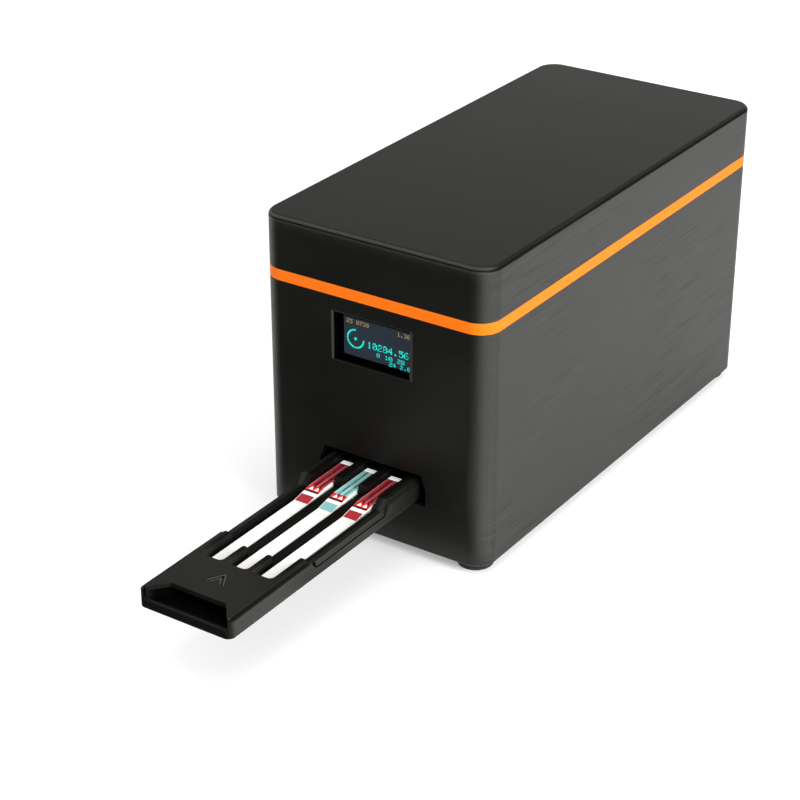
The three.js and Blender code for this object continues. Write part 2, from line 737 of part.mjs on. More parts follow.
function mainBoard() {
  const half = boardPostX + boardScrewInset;
  let board = block(-half, half, mainBoardFront, mainBoardRear, mainBoardUnderside, mainBoardTop);
  for (const [x, y] of boardPostPlaces) {
    board = cut(board, post(m2Shank + screwGap, x, y, mainBoardUnderside - overrun,
      mainBoardTop + overrun));
  }
  const middle = (mainBoardFront + mainBoardRear) / 2;
  const can = raise(roundedPlan(-processorWidth / 2, processorWidth / 2, middle - processorLength / 2,
    middle + processorLength / 2, processorCorner), mainBoardTop, mainBoardTop + processorHeight,
  roundSteps);
  const socketRear = caseDepth - fitGap;
  const middleZ = mainBoardTop + socketHeight / 2;
  const socket = join(cut(
    pillAlong(socketWidth / 2, socketHeight / 2, socketOffset, middleZ, socketRear - socketLength,
      socketRear),
    pillAlong(socketWidth / 2 - socketShell, socketHeight / 2 - socketShell, socketOffset, middleZ,
      socketRear - socketLength + 2 * socketShell, socketRear + overrun)),
  block(socketOffset - socketWidth / 4, socketOffset + socketWidth / 4, socketRear - socketLength
    + socketShell, socketRear - socketHeight / 2, middleZ - socketTongue / 2,
  middleZ + socketTongue / 2));
  return [mesh('main_board', board, boardGreen), mesh('processor_module', can, steel),
    mesh('power_socket', socket, steel)];
}

// Rocker switch: a snap-in frame in the back wall, and the rocker that tilts in it
function powerSwitch() {
  const bezelWidth = switchBodyWidth + 2 * bezelSideLap;
  const bezelHeight = switchBodyHeight + 2 * bezelEndLap;
  const rockerWidth = switchBodyWidth - 2 * (switchSkin + fitGap + rockerPinLength);
  const rockerHalf = switchBodyHeight / 2 - switchEndWall;
  const pivotY = caseDepth + bezelThickness - rockerPivotDepth;
  const sweep = Math.hypot(rockerHalf, Math.max(rockerRise, rockerSkirt)) + fitGap;
  const tilt = THREE.MathUtils.degToRad(rockerTilt);
  const well = rockerSkirt * Math.cos(tilt) + rockerHalf * Math.sin(tilt) + fitGap;
  const bezel = along(roundedPlan(switchOffset - bezelWidth / 2, switchOffset + bezelWidth / 2,
    switchRise - bezelHeight / 2, switchRise + bezelHeight / 2, bezelCorner)
    .getPoints(roundSteps).slice(0, -1).map((point) => [point.x, point.y]),
  caseDepth, caseDepth + bezelThickness);
  const body = block(switchOffset - switchBodyWidth / 2, switchOffset + switchBodyWidth / 2,
    insideRear - switchBodyDepth, caseDepth + bezelThickness / 2,
    switchRise - switchBodyHeight / 2, switchRise + switchBodyHeight / 2);
  const hollow = block(switchOffset - rockerWidth / 2 - fitGap, switchOffset + rockerWidth / 2 + fitGap,
    pivotY - well, pivotY + rockerRise + overrun, switchRise - sweep, switchRise + sweep);
  const pinHole = sidewaysPost(rockerPinRadius + fitGap, rockerWidth / 2 + rockerPinLength + fitGap,
    switchOffset, pivotY, switchRise);
  const frame = cut(join(bezel, body), hollow, pinHole);

  const outline = [[-rockerSkirt, -rockerHalf], [-rockerSkirt, rockerHalf], [rockerRise, rockerHalf],
    [rockerDip, 0], [rockerRise, -rockerHalf]];
  const rocker = join(across(outline, -rockerWidth / 2, rockerWidth / 2),
    sidewaysPost(rockerPinRadius, rockerWidth / 2 + rockerPinLength, 0, 0, 0));
  const piece = mesh('switch_rocker', rocker, switchBlack);
  piece.rotation.x = -tilt;
  piece.position.set(switchOffset, pivotY, switchRise);
  return [mesh('switch_frame', frame, switchBlack), piece];
}

// A round bar along x, centred on a point
function sidewaysPost(radius, half, x, y, z) {
  const geometry = new THREE.CylinderGeometry(radius, radius, 2 * half, roundSteps * 4);
  geometry.rotateZ(Math.PI / 2);
  geometry.translate(x, y, z);
  return solid(geometry);
}

// Tray: a shallow channel with raised rims round the grip, and on the part that stays inside two
// runners for the rails' grooves, a sprung catch and a flag for the position sensor
function drawerTray() {
  const inner = trayHalf - trayRim;
  const innerFront = trayRim - trayReach;
  const rimRear = rimEnd + rimRamp;
  const outline = roundedPlan(-trayHalf, trayHalf, -trayReach, rimRear + trayCorner, trayCorner);
  const hollow = (y1, z1) => join(raise(roundedPlan(-inner, inner, innerFront, y1,
    trayCorner - trayRim), trayFloorTop, z1), block(-inner, inner, y1 - trayHalf, y1, trayFloorTop, z1));
  const sideView = across([[-trayReach, trayUnderside], [rimRear, trayUnderside], [rimRear, sideTop],
    [rimEnd, rimTop], [-trayReach, rimTop]], -trayHalf, trayHalf);
  const rims = cut(raise(outline, trayUnderside, rimTop).intersect(sideView),
    hollow(rimRear + overrun, rimTop + overrun),
    block(-inner, inner, -trayReach - overrun, lipFront, sideTop, rimTop + overrun));
  const channel = cut(block(-trayHalf, trayHalf, rimEnd, trayTail, trayUnderside, sideTop),
    block(-inner, inner, rimEnd - overrun, trayTail + overrun, trayFloorTop, sideTop + overrun));
  const runners = block(-runnerHalf, runnerHalf, catchFront, trayTail, trayUnderside, trayFloorTop);
  const rearRib = block(-inner, inner, holderRear + holderSeam, holderRear + holderSeam + trayRim,
    trayUnderside, sideTop);
  const flag = block(flagOffset - flagThickness / 2, flagOffset + flagThickness / 2,
    trayTail - flagLength, trayTail, trayUnderside, trayFloorTop + flagHeight);
  const body = join(rims, channel, runners, rearRib, flag);
  return mesh('drawer_tray', join(cut(body, ...catchSlits()), trayCatch()), trayBlack);
}

// The catch meets the back of the front wall with the tray fully out; its rear face is a ramp
function trayCatch() {
  return across([[catchFront, trayFloorTop], [catchFront, trayUnderside - catchDrop],
    [catchFront + catchLength, trayUnderside], [catchFront + catchLength, trayFloorTop]],
  -catchHalf, catchHalf);
}

function catchSlits() {
  const front = catchFront - catchSlit;
  const slits = sides.map((side) => block(
    Math.min(side * catchHalf, side * (catchHalf + catchSlit)),
    Math.max(side * catchHalf, side * (catchHalf + catchSlit)),
    front, catchFront + catchReach, trayUnderside - overrun, trayFloorTop + overrun));
  return [...slits, block(-catchHalf, catchHalf, front, catchFront, trayUnderside - overrun,
    trayFloorTop + overrun)];
}

// Strip holder: a plate that bridges the strips' front ends, tongues and dividers between them,
// low walls beside the part that is read, and raised guides with ramps round the thick labels
function stripHolder() {
  const floor = block(-holderHalf, holderHalf, holderFront, holderRear, trayFloorTop, channelFloor);
  const plate = raise(roundedPlan(-holderHalf, holderHalf, holderFront, armEnd, tongueRound),
    channelFloor, plateTop, roundSteps);
  let body = join(floor, plate);

  for (const centre of stripCentres) {
    body = cut(body, raise(roundedPlan(centre - bayHalf, centre + bayHalf, bayFront,
      armEnd + 2 * bayRound, bayRound), channelFloor, plateTop + overrun, roundSteps),
    block(centre - channelHalf, centre + channelHalf, stripFront - fitGap, bayFront + bayRound,
      channelFloor, plateTop - plateThickness));
  }
  for (const side of sides) {
    const middle = side * stripPitch / 2;
    const tongue = raise(roundedPlan(middle - tongueHalf, middle + tongueHalf, bayFront, tongueEnd,
      tongueRound), 0, caseHeight, roundSteps);
    body = cut(body, cut(block(middle - tongueHalf - fitGap, middle + tongueHalf + fitGap,
      tongueEnd - tongueRound, armEnd + overrun, channelFloor, plateTop + overrun), tongue));
  }

  const guideSide = (low) => [[rampStart, low], [holderRear, low], [holderRear, guideTop],
    [rampStart + guideRamp, guideTop], [rampStart, lowWallTop]];
  const wallFoot = sideTop + fitGap;
  const lowWallInner = stripPitch + channelHalf + lowWallGap;
  const lowDividerHalf = (stripPitch - stripWidth) / 2 - lowDividerGap;
  const guideDividerHalf = (stripPitch - stripWidth) / 2 - guideDividerGap;
  const flareFront = rampStart + flareLag;
  const flareTop = guideTop - flareStep;
  for (const side of sides) {
    const near = (a, b) => [Math.min(side * a, side * b), Math.max(side * a, side * b)];
    const lowWall = block(...near(lowWallInner, holderHalf), armEnd - tongueRound, holderRear,
      channelFloor, lowWallTop);
    const shoulder = along(mirrored([[lowWallInner, wallFoot], [lowWallOuter + lowWallBevel, wallFoot],
      [lowWallOuter, lowWallTop], [lowWallInner, lowWallTop]], side), rimEnd + rimRamp + fitGap,
    holderRear);
    const guide = across(guideSide(channelFloor), ...near(guideInner, holderHalf));
    const guideHead = across(guideSide(wallFoot), ...near(guideInner, lowWallOuter));
    const flare = across([[flareFront, wallFoot], [holderRear, wallFoot], [holderRear, flareTop],
      [flareFront + flareRamp, flareTop]], ...near(guideInner, flareOuter)).intersect(
      along(mirrored([[guideInner, wallFoot], [flareOuter, wallFoot],
        [flareOuter, flareTop - flareBevel], [lowWallOuter, flareTop], [guideInner, flareTop]], side),
      flareFront, holderRear));
    const middle = side * stripPitch / 2;
    const lowDivider = block(middle - lowDividerHalf, middle + lowDividerHalf,
      tongueEnd - tongueRound, holderRear, channelFloor, lowWallTop - lowDividerStep);
    const tallDivider = across([[dividerStart, channelFloor], [holderRear, channelFloor],
      [holderRear, guideTop], [dividerStart + dividerRamp, guideTop],
      [dividerStart, guideTop - dividerRamp]], middle - guideDividerHalf, middle + guideDividerHalf);
    body = join(body, lowWall, shoulder, guide, guideHead, flare, lowDivider, tallDivider);
  }
  body = join(body, block(-guideInner - overrun, guideInner + overrun, endWallFront, holderRear,
    channelFloor, guideTop - endWallStep));

  return mesh('strip_holder', cut(body, fingerNotch(), arrowMark()), trayBlack);
}

// Finger notch in the plate's front edge, flared to both sides, with a mouth under the lip
function fingerNotch() {
  const front = holderFront - overrun;
  const wide = mouthHalf + notchFlare * (lipFront - front) / (lipFront - holderFront);
  const shape = new THREE.Shape([[-wide, front], [wide, front], [mouthHalf, lipFront],
    [-mouthHalf, lipFront]].map(([x, y]) => new THREE.Vector2(x, y)));
  const notch = raise(shape, trayFloorTop - overrun, plateTop + overrun);
  const mouth = block(-mouthHalf, mouthHalf, lipFront - overrun, lipFront + mouthDepth,
    trayFloorTop - overrun, plateTop - lipThickness);
  const slope = across([[lipFront - overrun, plateTop - lipThickness], [lipFront,
    plateTop - lipThickness], [lipFront + lipSlope, plateTop + overrun],
  [lipFront - overrun, plateTop + overrun]], -mouthHalf, mouthHalf);
  return join(notch, mouth, slope);
}

// Engraved arrow head that shows which way the tray goes in
function arrowMark() {
  const arrowTip = arrowSetback - trayReach;
  const tail = arrowTip - arrowLength;
  const points = [[0, arrowTip], [arrowHalf, tail], [arrowHalf - arrowStroke, tail],
    [0, arrowTip - 2 * arrowStroke], [arrowStroke - arrowHalf, tail], [-arrowHalf, tail]];
  return raise(new THREE.Shape(points.map(([x, y]) => new THREE.Vector2(x + arrowOffset, y))),
    plateTop - arrowDepth, plateTop + overrun);
}

// A strip's white backing and, over its far end, the thicker pad under the coloured label
function testStrips() {
  const names = ['left', 'centre', 'right'];
  const labels = [labelRed, labelTeal, labelRed];
  return stripCentres.flatMap((centre, index) => {
    const backing = block(centre - stripWidth / 2, centre + stripWidth / 2, stripFront, stripRear,
      channelFloor, stripTop);
    const padStart = stripRear - padLength;
    const pad = across([[padStart, stripTop], [stripRear, stripTop],
      [stripRear, stripTop + padEndThickness], [padStart + padTaper, stripTop + padThickness]],
    centre - stripWidth / 2, centre + stripWidth / 2);
    return [mesh(`test_strip_${names[index]}`, backing, stripWhite),
      mesh(`absorbent_pad_${names[index]}`, pad, labels[index])];
  });
}

// The whole reader, with the tray and the strips in a group of their own
const reader = new THREE.Group();
reader.add(lowerHousing(), accentBand(), topCover(), basePlate(), ...feet(), ...screws(),
  ...display(), guideRail(-1), guideRail(1), opticsHood(), ...camera(), ...lampBoards(),
  ...stopAndSensor(), ...mainBoard(), ...powerSwitch());
const drawer = new THREE.Group();
drawer.add(drawerTray(), stripHolder(), ...testStrips());
reader.add(drawer);

// Stand it on the table with the origin under the middle of its outline
reader.updateMatrixWorld(true);
const outline = new THREE.Box3().setFromObject(reader, true);
reader.position.set(0, -(outline.min.y + outline.max.y) / 2, -outline.min.z);

export default reader;
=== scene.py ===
"""Looks of the bench-top rapid test reader: its finishes, printed strips, lit display and studio.

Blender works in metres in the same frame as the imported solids. Sizes in the classes below are
millimetres, because the reader was drawn in them, and they become metres where a mesh is made.
The studio's sizes are metres.
"""

from __future__ import annotations

import json
import logging
import math
from dataclasses import dataclass
from enum import Enum
from functools import cache
from typing import Iterable, Sequence, Union

import bpy
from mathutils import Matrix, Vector

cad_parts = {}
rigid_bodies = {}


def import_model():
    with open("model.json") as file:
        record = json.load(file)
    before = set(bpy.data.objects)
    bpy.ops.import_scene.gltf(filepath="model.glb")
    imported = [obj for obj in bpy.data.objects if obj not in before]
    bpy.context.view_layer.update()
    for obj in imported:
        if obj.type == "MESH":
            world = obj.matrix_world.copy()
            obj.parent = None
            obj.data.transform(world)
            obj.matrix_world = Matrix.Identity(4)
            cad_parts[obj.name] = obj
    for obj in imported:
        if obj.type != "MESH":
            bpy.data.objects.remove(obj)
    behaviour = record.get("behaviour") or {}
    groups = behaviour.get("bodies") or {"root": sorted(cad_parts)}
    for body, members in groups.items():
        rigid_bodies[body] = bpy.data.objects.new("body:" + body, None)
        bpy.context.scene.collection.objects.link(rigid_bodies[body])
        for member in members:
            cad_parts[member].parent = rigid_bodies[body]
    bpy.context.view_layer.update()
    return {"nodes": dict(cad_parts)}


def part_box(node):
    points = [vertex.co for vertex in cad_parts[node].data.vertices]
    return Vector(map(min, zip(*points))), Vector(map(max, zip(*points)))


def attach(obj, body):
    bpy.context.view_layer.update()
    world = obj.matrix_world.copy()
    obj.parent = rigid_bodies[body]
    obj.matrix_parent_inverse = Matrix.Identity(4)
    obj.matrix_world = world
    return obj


for spare in list(bpy.data.objects):
    bpy.data.objects.remove(spare, do_unlink=True)

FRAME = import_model()
MM = 0.001
LOG = logging.getLogger("reader")

Colour = tuple[float, float, float, float]
Point = tuple[float, float, float]
Pair = tuple[float, float]
Shares = tuple[float, ...]
Pixel = tuple[int, int]


def ink(code: str) -> Colour:
    """Turns a colour written as six hexadecimal digits into linear light.

    Args:
        code: the colour as it looks on a screen, such as "ff7a00".

    Returns:
        Red, green, blue and a full alpha.
    """
    values = []
    for start in (0, 2, 4):
        seen = int(code[start:start + 2], 16) / 255
        values.append(seen / 12.92 if seen <= 0.04045 else ((seen + 0.055) / 1.055) ** 2.4)
    return (values[0], values[1], values[2], 1.0)


def even(count: float) -> Point:
    """The same count along all three axes."""
    return (count, count, count)


class Wire:
    """A number on its way through a material, so that shader maths reads as an expression."""

    def __init__(self, recipe: Recipe, socket: bpy.types.NodeSocket) -> None:
        """Keeps the socket that gives the number and the recipe that it belongs to."""
        self.recipe = recipe
        self.socket = socket

    def math(self, operation: str, *others: Wire | float,
             first: Wire | float | None = None) -> Wire:
        """Adds one Math node.

        Args:
            operation: the node's operation.
            others: the inputs after the first.
            first: the first input, where it isn't this wire.

        Returns:
            The node's result.
        """
        values = [self if first is None else first, *others]
        node = self.recipe.node("ShaderNodeMath", {"operation": operation},
                                dict(enumerate(values)))
        return Wire(self.recipe, node.outputs[0])

    def __add__(self, other: Wire | float) -> Wire:
        """This number plus another."""
        return self.math("ADD", other)

    __radd__ = __add__

    def __sub__(self, other: Wire | float) -> Wire:
        """This number less another."""
        return self.math("SUBTRACT", other)

    def __rsub__(self, other: float) -> Wire:
        """A plain number less this one."""
        return self.math("SUBTRACT", self, first=other)

    def __mul__(self, other: Wire | float) -> Wire:
        """This number times another."""
        return self.math("MULTIPLY", other)

    __rmul__ = __mul__

    def __truediv__(self, other: Wire | float) -> Wire:
        """This number divided by another."""
        return self.math("DIVIDE", other)

    def __rtruediv__(self, other: float) -> Wire:
        """A plain number divided by this one."""
        return self.math("DIVIDE", self, first=other)

    def __abs__(self) -> Wire:
        """This number without its sign."""
        return self.math("ABSOLUTE")

    def __gt__(self, other: Wire | float) -> Wire:
        """One where this number is larger, and zero elsewhere."""
        return self.math("GREATER_THAN", other)

    def __lt__(self, other: Wire | float) -> Wire:
        """One where this number is smaller, and zero elsewhere."""
        return self.math("LESS_THAN", other)

    def most(self, other: Wire | float) -> Wire:
        """The larger of this number and another."""
        return self.math("MAXIMUM", other)

    def ripple(self, pitch: float) -> Wire:
        """A sine wave from zero to one along this length, which repeats at the pitch."""
        return (self * (2 * math.pi / pitch)).math("SINE") * 0.5 + 0.5

    def rise(self, low: float, high: float) -> Wire:
        """A smooth step from zero at the first value to one at the second, up or down."""
        node = self.recipe.node("ShaderNodeMapRange", {"interpolation_type": "SMOOTHSTEP"},
                                {"Value": self, "From Min": low, "From Max": high})
        return Wire(self.recipe, node.outputs["Result"])


Input = Union[Wire, bpy.types.NodeSocket, float, Sequence[float]]


@dataclass(frozen=True)
class Grain:
    """Soft noise on a piece: grains in a metre along each axis, finer layers and their strength.

    With a step, the noise is cut to a mask that rises between the step's two values.
    """

    stretch: Point
    detail: float = 2.0
    roughness: float = 0.5
    step: Pair | None = None


class Recipe:
    """The node tree of a material or of the world, and the one place where its nodes are made."""

    # Matt black for dark streaks in the plastic and for painted shade.
    STREAK_AND_SHADE_BLACK = "030303"

    def __init__(self, owner: bpy.types.Material | bpy.types.World) -> None:
        """Empties the node tree of its owner.

        Args:
            owner: the material or the world.
        """
        owner.use_nodes = True
        self.owner = owner
        self.tree = owner.node_tree
        self.tree.nodes.clear()

    @classmethod
    def named(cls, name: str) -> Recipe:
        """Starts a new material with that name."""
        return cls(bpy.data.materials.new(name))

    def node(self, kind: str, settings: dict[str, object] | None = None,
             inputs: dict[int | str, Input] | None = None) -> bpy.types.Node:
        """Adds a node.

        Args:
            kind: the node's type.
            settings: its own settings.
            inputs: a value or a link for each socket, by name or place.

        Returns:
            The new node.
        """
        node = self.tree.nodes.new(kind)
        for name, value in (settings or {}).items():
            setattr(node, name, value)
        for name, value in (inputs or {}).items():
            socket = node.inputs[name]
            if isinstance(value, Wire):
                self.tree.links.new(value.socket, socket)
            elif isinstance(value, bpy.types.NodeSocket):
                self.tree.links.new(value, socket)
            else:
                socket.default_value = value
        return node

    def parts(self, vector: bpy.types.NodeSocket) -> list[Wire]:
        """A vector's three numbers."""
        outputs = self.node("ShaderNodeSeparateXYZ", {}, {"Vector": vector}).outputs
        return [Wire(self, output) for output in outputs]

    def place(self) -> bpy.types.NodeSocket:
        """The point on the piece, in metres."""
        return self.node("ShaderNodeTexCoord").outputs["Object"]

    def facing(self) -> bpy.types.NodeSocket:
        """The surface's direction."""
        return self.node("ShaderNodeNewGeometry").outputs["Normal"]

    def grain(self, point: bpy.types.NodeSocket, grain: Grain) -> Wire:
        """Lays a grain on the piece.

        Args:
            point: the point on the piece.
            grain: the grain.

        Returns:
            The noise or its mask, from zero to one.
        """
        scaled = self.node("ShaderNodeVectorMath", {"operation": "MULTIPLY"},
                           {0: point, 1: grain.stretch}).outputs[0]
        node = self.node("ShaderNodeTexNoise", {"noise_dimensions": "3D"},
                         {"Vector": scaled, "Scale": 1.0, "Detail": grain.detail,
                          "Roughness": grain.roughness})
        noise = Wire(self, node.outputs[0])
        return noise.rise(*grain.step) if grain.step else noise

    def blend(self, mask: Wire, low: Input, high: Input) -> bpy.types.NodeSocket:
        """Mixes two colours, with a mask that is zero for the first and one for the second."""
        node = self.node("ShaderNodeMix", {"data_type": "RGBA"}, {0: mask, 6: low, 7: high})
        return node.outputs[2]

    def relief(self, height: Wire, depth: float) -> bpy.types.NodeSocket:
        """A normal bumped by a height, of which one unit stands out by the depth in millimetres."""
        inputs = {"Strength": 1.0, "Distance": depth * MM, "Height": height}
        return self.node("ShaderNodeBump", {}, inputs).outputs["Normal"]

    def surface(self, colour: Input, roughness: Input, streaks_and_painted_shade: Wire | None = None,
                **more: Input) -> bpy.types.Material:
        """Ends the recipe in a Principled surface.

        Args:
            colour: the base colour.
            roughness: the roughness.
            streaks_and_painted_shade: how far the surface is matt black instead: dark streaks in
                the plastic, and painted shade deep in an opening or at the lip's groove.
            more: other sockets, by their names with underscores for spaces.

        Returns:
            The finished material.
        """
        inputs = {"Base Color": colour, "Roughness": roughness}
        inputs.update({name.replace("_", " "): value for name, value in more.items()})
        shader = self.node("ShaderNodeBsdfPrincipled", {}, inputs)
        if streaks_and_painted_shade is not None:
            black = self.node("ShaderNodeBsdfDiffuse", {}, {"Color": ink(self.STREAK_AND_SHADE_BLACK)})
            shader = self.mixed(streaks_and_painted_shade, shader, black)
        return self.close(shader)

    def mixed(self, mask: Wire, low: bpy.types.Node, high: bpy.types.Node) -> bpy.types.Node:
        """Mixes two shaders, with a mask that is zero for the first and one for the second."""
        return self.node("ShaderNodeMixShader", {}, {0: mask, 1: low.outputs[0],
                                                     2: high.outputs[0]})

    def close(self, shader: bpy.types.Node, kind: str = "ShaderNodeOutputMaterial") -> bpy.types.ID:
        """Leads a shader to the output and returns the finished owner."""
        self.node(kind, {}, {"Surface": shader.outputs[0]})
        return self.owner

    def looked_at(self) -> Wire:
        """Finds the rays that look at something.

        Returns:
            One for rays from the camera, from gloss and through glass, and zero for other light.
        """
        rays = self.node("ShaderNodeLightPath").outputs
        seen = Wire(self, rays["Is Camera Ray"])
        for name in ("Is Glossy Ray", "Is Transmission Ray"):
            seen = seen.most(Wire(self, rays[name]))
        return seen


def weighed(shares: Shares, *numbers: Wire) -> Wire:
    """The sum of numbers, each times its share."""
    first, *others = [number * share for number, share in zip(numbers, shares)]
    return sum(others, first)


@dataclass(frozen=True)
class Span:
    """A stretch with soft ends: the step in, the step out and how strong it is."""

    start: Pair
    end: Pair
    share: float = 1.0

    def mask(self, along: Wire) -> Wire:
        """The share on the stretch, and zero off it."""
        return along.rise(*self.start) * along.rise(*self.end) * self.share


@dataclass(frozen=True)
class Window:
    """The display window in the housing's front, whose upright edges are softly rounded."""

    half: float = 11.8
    low: float = 51.6
    high: float = 65.0
    soft: float = 1.1
    depth: float = 1.0
    fade: float = 0.5
    square_on: float = 0.9

    def relief(self, x: Wire, z: Wire, towards: Wire) -> Wire:
        """Height that falls away at both upright edges.

        Args:
            x: place across the front, in metres.
            z: height, in metres.
            towards: how far the surface faces the viewer of the front.

        Returns:
            The height in millimetres, zero away from the edges.
        """
        near = 1.0 - (abs(x) / MM - self.half) / self.soft
        fall = near.most(0.0).math("MINIMUM", 1.0)
        up = z / MM
        inside = up.rise(self.low - self.fade, self.low) * up.rise(self.high + self.fade, self.high)
        return fall * fall * inside * (towards > self.square_on) * -self.depth


@dataclass(frozen=True)
class ShadedRecess:
    """A box round a deep opening, on whose faces shade is painted as matt black. Lengths are
    millimetres.
    """

    low: Point
    high: Point
    soft: Point
    share: float

    def mask(self, *place: Wire) -> Wire:
        """How much painted shade a face gets there.

        Args:
            place: the point on the piece, as three numbers in metres.

        Returns:
            The share inside the box, which falls to zero outside it.
        """
        sides = []
        for along, low, high, soft in zip(place, self.low, self.high, self.soft):
            inward = along / MM
            sides.append(inward.rise(low - soft, low) * inward.rise(high + soft, high))
        return math.prod(sides, start=self.share)


@dataclass(frozen=True)
class Lip:
    """Painted highlight on the crest and ridge, and painted shadow at the dark groove, round the
    cover's top edge.

    Each span is in millimetres down from the top. The steps say how far a surface has to face
    the front for the painted highlight, or the right for the painted shadow at the groove.
    """

    top: float = 87.4
    # shade is the colour of the painted highlight on the crest, ridge and slope; groove is where
    # the painted shadow lies.
    shade: str = "2b2b29"
    crest: Span = Span((0.02, 0.2), (0.75, 0.55))
    ridge: Span = Span((0.7, 0.9), (1.85, 1.35))
    slope: Span = Span((0.7, 0.9), (4.5, 1.5), 0.25)
    groove: Span = Span((0.3, 0.55), (1.4, 1.15), 0.8)
    crest_facing: Pair = (0.1, 0.4)
    facing: Pair = (0.3, 0.9)

    def light(self, down: Wire, front: Wire) -> Wire:
        """The painted highlight's share, from how far down a point is and how far it faces the
        front.
        """
        ridge = (self.ridge.mask(down) + self.slope.mask(down)) * front.rise(*self.facing)
        return ridge + self.crest.mask(down) * front.rise(*self.crest_facing)

    def shadow(self, down: Wire, across: Wire) -> Wire:
        """The painted shadow's share at the groove, from how far down a point is and how far it
        faces right.
        """
        return self.groove.mask(down) * across.rise(*self.facing)


@dataclass(frozen=True)
class LayeredPlastic:
    """Black plastic built up in thin layers: short streaks round the sides, a raster on top.

    Wear is the shares of the lines, the drift and the specks, rough those of the lines and the
    drift, and high those of the layers, the lines, the raster and the specks.
    """

    name: str
    colour: str
    worn: str
    roughness: float = 0.42
    streaks: float = 0.5
    window: Window | None = None
    # Boxes of painted shade in openings; the lip adds its painted highlight and painted shadow.
    shaded_recesses: tuple[ShadedRecess, ...] = ()
    lip: Lip | None = None
    level: float = 0.38
    tint: Colour = (0.975, 1.0, 0.89, 1.0)
    scratch: str = "2f2f2d"
    layer: float = 0.2
    raster: float = 0.45
    depth: float = 0.008
    facing_up: Pair = (0.75, 0.95)
    facing_side: Pair = (0.6, 0.95)
    streak: Grain = Grain((48.0, 48.0, 1500.0), 1.0)
    light_streak: Pair = (0.57, 0.68)
    dark_streak: Pair = (0.44, 0.33)
    darkness: float = 0.24
    patch: Grain = Grain((17.0, 17.0, 30.0), step=(0.45, 0.6))
    drift: Grain = Grain((45.0, 45.0, 90.0), 3.0, step=(0.3, 0.75))
    speck: Grain = Grain(even(2600.0), 1.0, step=(0.45, 0.8))
    wear: Shares = (0.4, 0.2, 0.1)
    rough: Shares = (0.12, 0.03)
    high: Shares = (0.3, 1.8, 0.25, 0.2)

    def material(self) -> bpy.types.Material:
        """Makes the material.

        Returns:
            The material.
        """
        recipe = Recipe.named(self.name)
        point = recipe.place()
        x, y, z = recipe.parts(point)
        across, along, up = recipe.parts(recipe.facing())
        front = 0.0 - along
        flat = abs(up).rise(*self.facing_up)
        cheek = abs(across).rise(*self.facing_side)
        side = 1.0 - flat
        layers = z.ripple(self.layer * MM)
        raster = (x + y).ripple(self.raster * math.sqrt(2) * MM)
        streak = recipe.grain(point, self.streak)
        patch = recipe.grain(point, self.patch)
        lines = side * streak.rise(*self.light_streak) * patch * self.streaks
        drift = recipe.grain(point, self.drift)
        speck = recipe.grain(point, self.speck)
        shade = recipe.blend(weighed(self.wear, lines, drift, speck),
                             ink(self.colour), ink(self.worn))
        shade = recipe.blend(lines * cheek, shade, ink(self.scratch))
        rough = weighed(self.rough, lines, drift) + self.roughness
        height = weighed(self.high, side * layers, lines, flat * raster, speck)
        if self.window:
            height = height + self.window.relief(x, z, front) / self.depth
        streaks_and_painted_shade = streak.rise(*self.dark_streak) * patch * cheek * (self.streaks * self.darkness)
        # Round the cover's lip: a painted highlight on front-facing faces and painted shadow at the
        # groove on right-facing faces.
        if self.lip:
            down = self.lip.top - z / MM
            shade = recipe.blend(self.lip.light(down, front), shade, ink(self.lip.shade))
            streaks_and_painted_shade = streaks_and_painted_shade.most(self.lip.shadow(down, across))
        # Painted shade: faces deep in openings turn matt black.
        for recess in self.shaded_recesses:
            streaks_and_painted_shade = streaks_and_painted_shade.most(recess.mask(x, y, z))
        return recipe.surface(shade, rough, streaks_and_painted_shade, Specular_IOR_Level=self.level,
                              Specular_Tint=self.tint, Normal=recipe.relief(height, self.depth))


@dataclass(frozen=True)
class SmoothPlastic:
    """Plastic with a faint moulded grain and broad soft patches.

    Wear and rough are the shares of the patches and of the grain.
    """

    name: str
    colour: str
    worn: str
    roughness: float = 0.4
    depth: float = 0.006
    level: float = 0.5
    metal: float = 0.0
    broad: Grain = Grain(even(70.0), 3.0, step=(0.3, 0.75))
    fine: Grain = Grain(even(1800.0))
    wear: Shares = (0.35, 0.2)
    rough: Shares = (0.08, 0.06)

    def material(self) -> bpy.types.Material:
        """Makes the material.

        Returns:
            The material.
        """
        recipe = Recipe.named(self.name)
        point = recipe.place()
        broad, fine = recipe.grain(point, self.broad), recipe.grain(point, self.fine)
        shade = recipe.blend(weighed(self.wear, broad, fine), ink(self.colour), ink(self.worn))
        rough = weighed(self.rough, broad, fine) + self.roughness
        return recipe.surface(shade, rough, Specular_IOR_Level=self.level, Metallic=self.metal,
                              Normal=recipe.relief(fine, self.depth))


@dataclass(frozen=True)
class PlatedSteel(SmoothPlastic):
    """Plated metal with fine turning marks and slightly uneven brightness."""

    colour: str = "a9adb2"
    worn: str = "7d8187"
    roughness: float = 0.22
    depth: float = 0.004
    metal: float = 1.0
    broad: Grain = Grain(even(300.0), 3.0, step=(0.35, 0.7))
    fine: Grain = Grain((3000.0, 3000.0, 400.0))
    wear: Shares = (1.0, 0.0)
    rough: Shares = (0.1, 0.15)


@dataclass(frozen=True)
class StripCard(SmoothPlastic):
    """White test strip: a fibrous membrane with faint cross lines."""

    colour: str = "f6f5f2"
    worn: str = "e2dfd9"
    roughness: float = 0.72
    depth: float = 0.01
    broad: Grain = Grain((20.0, 330.0, 20.0), 1.0, step=(0.62, 0.75))
    fine: Grain = Grain((2400.0, 900.0, 2400.0), 3.0, 0.65)
    wear: Shares = (0.35, 0.35)
    rough: Shares = (0.0, 0.1)


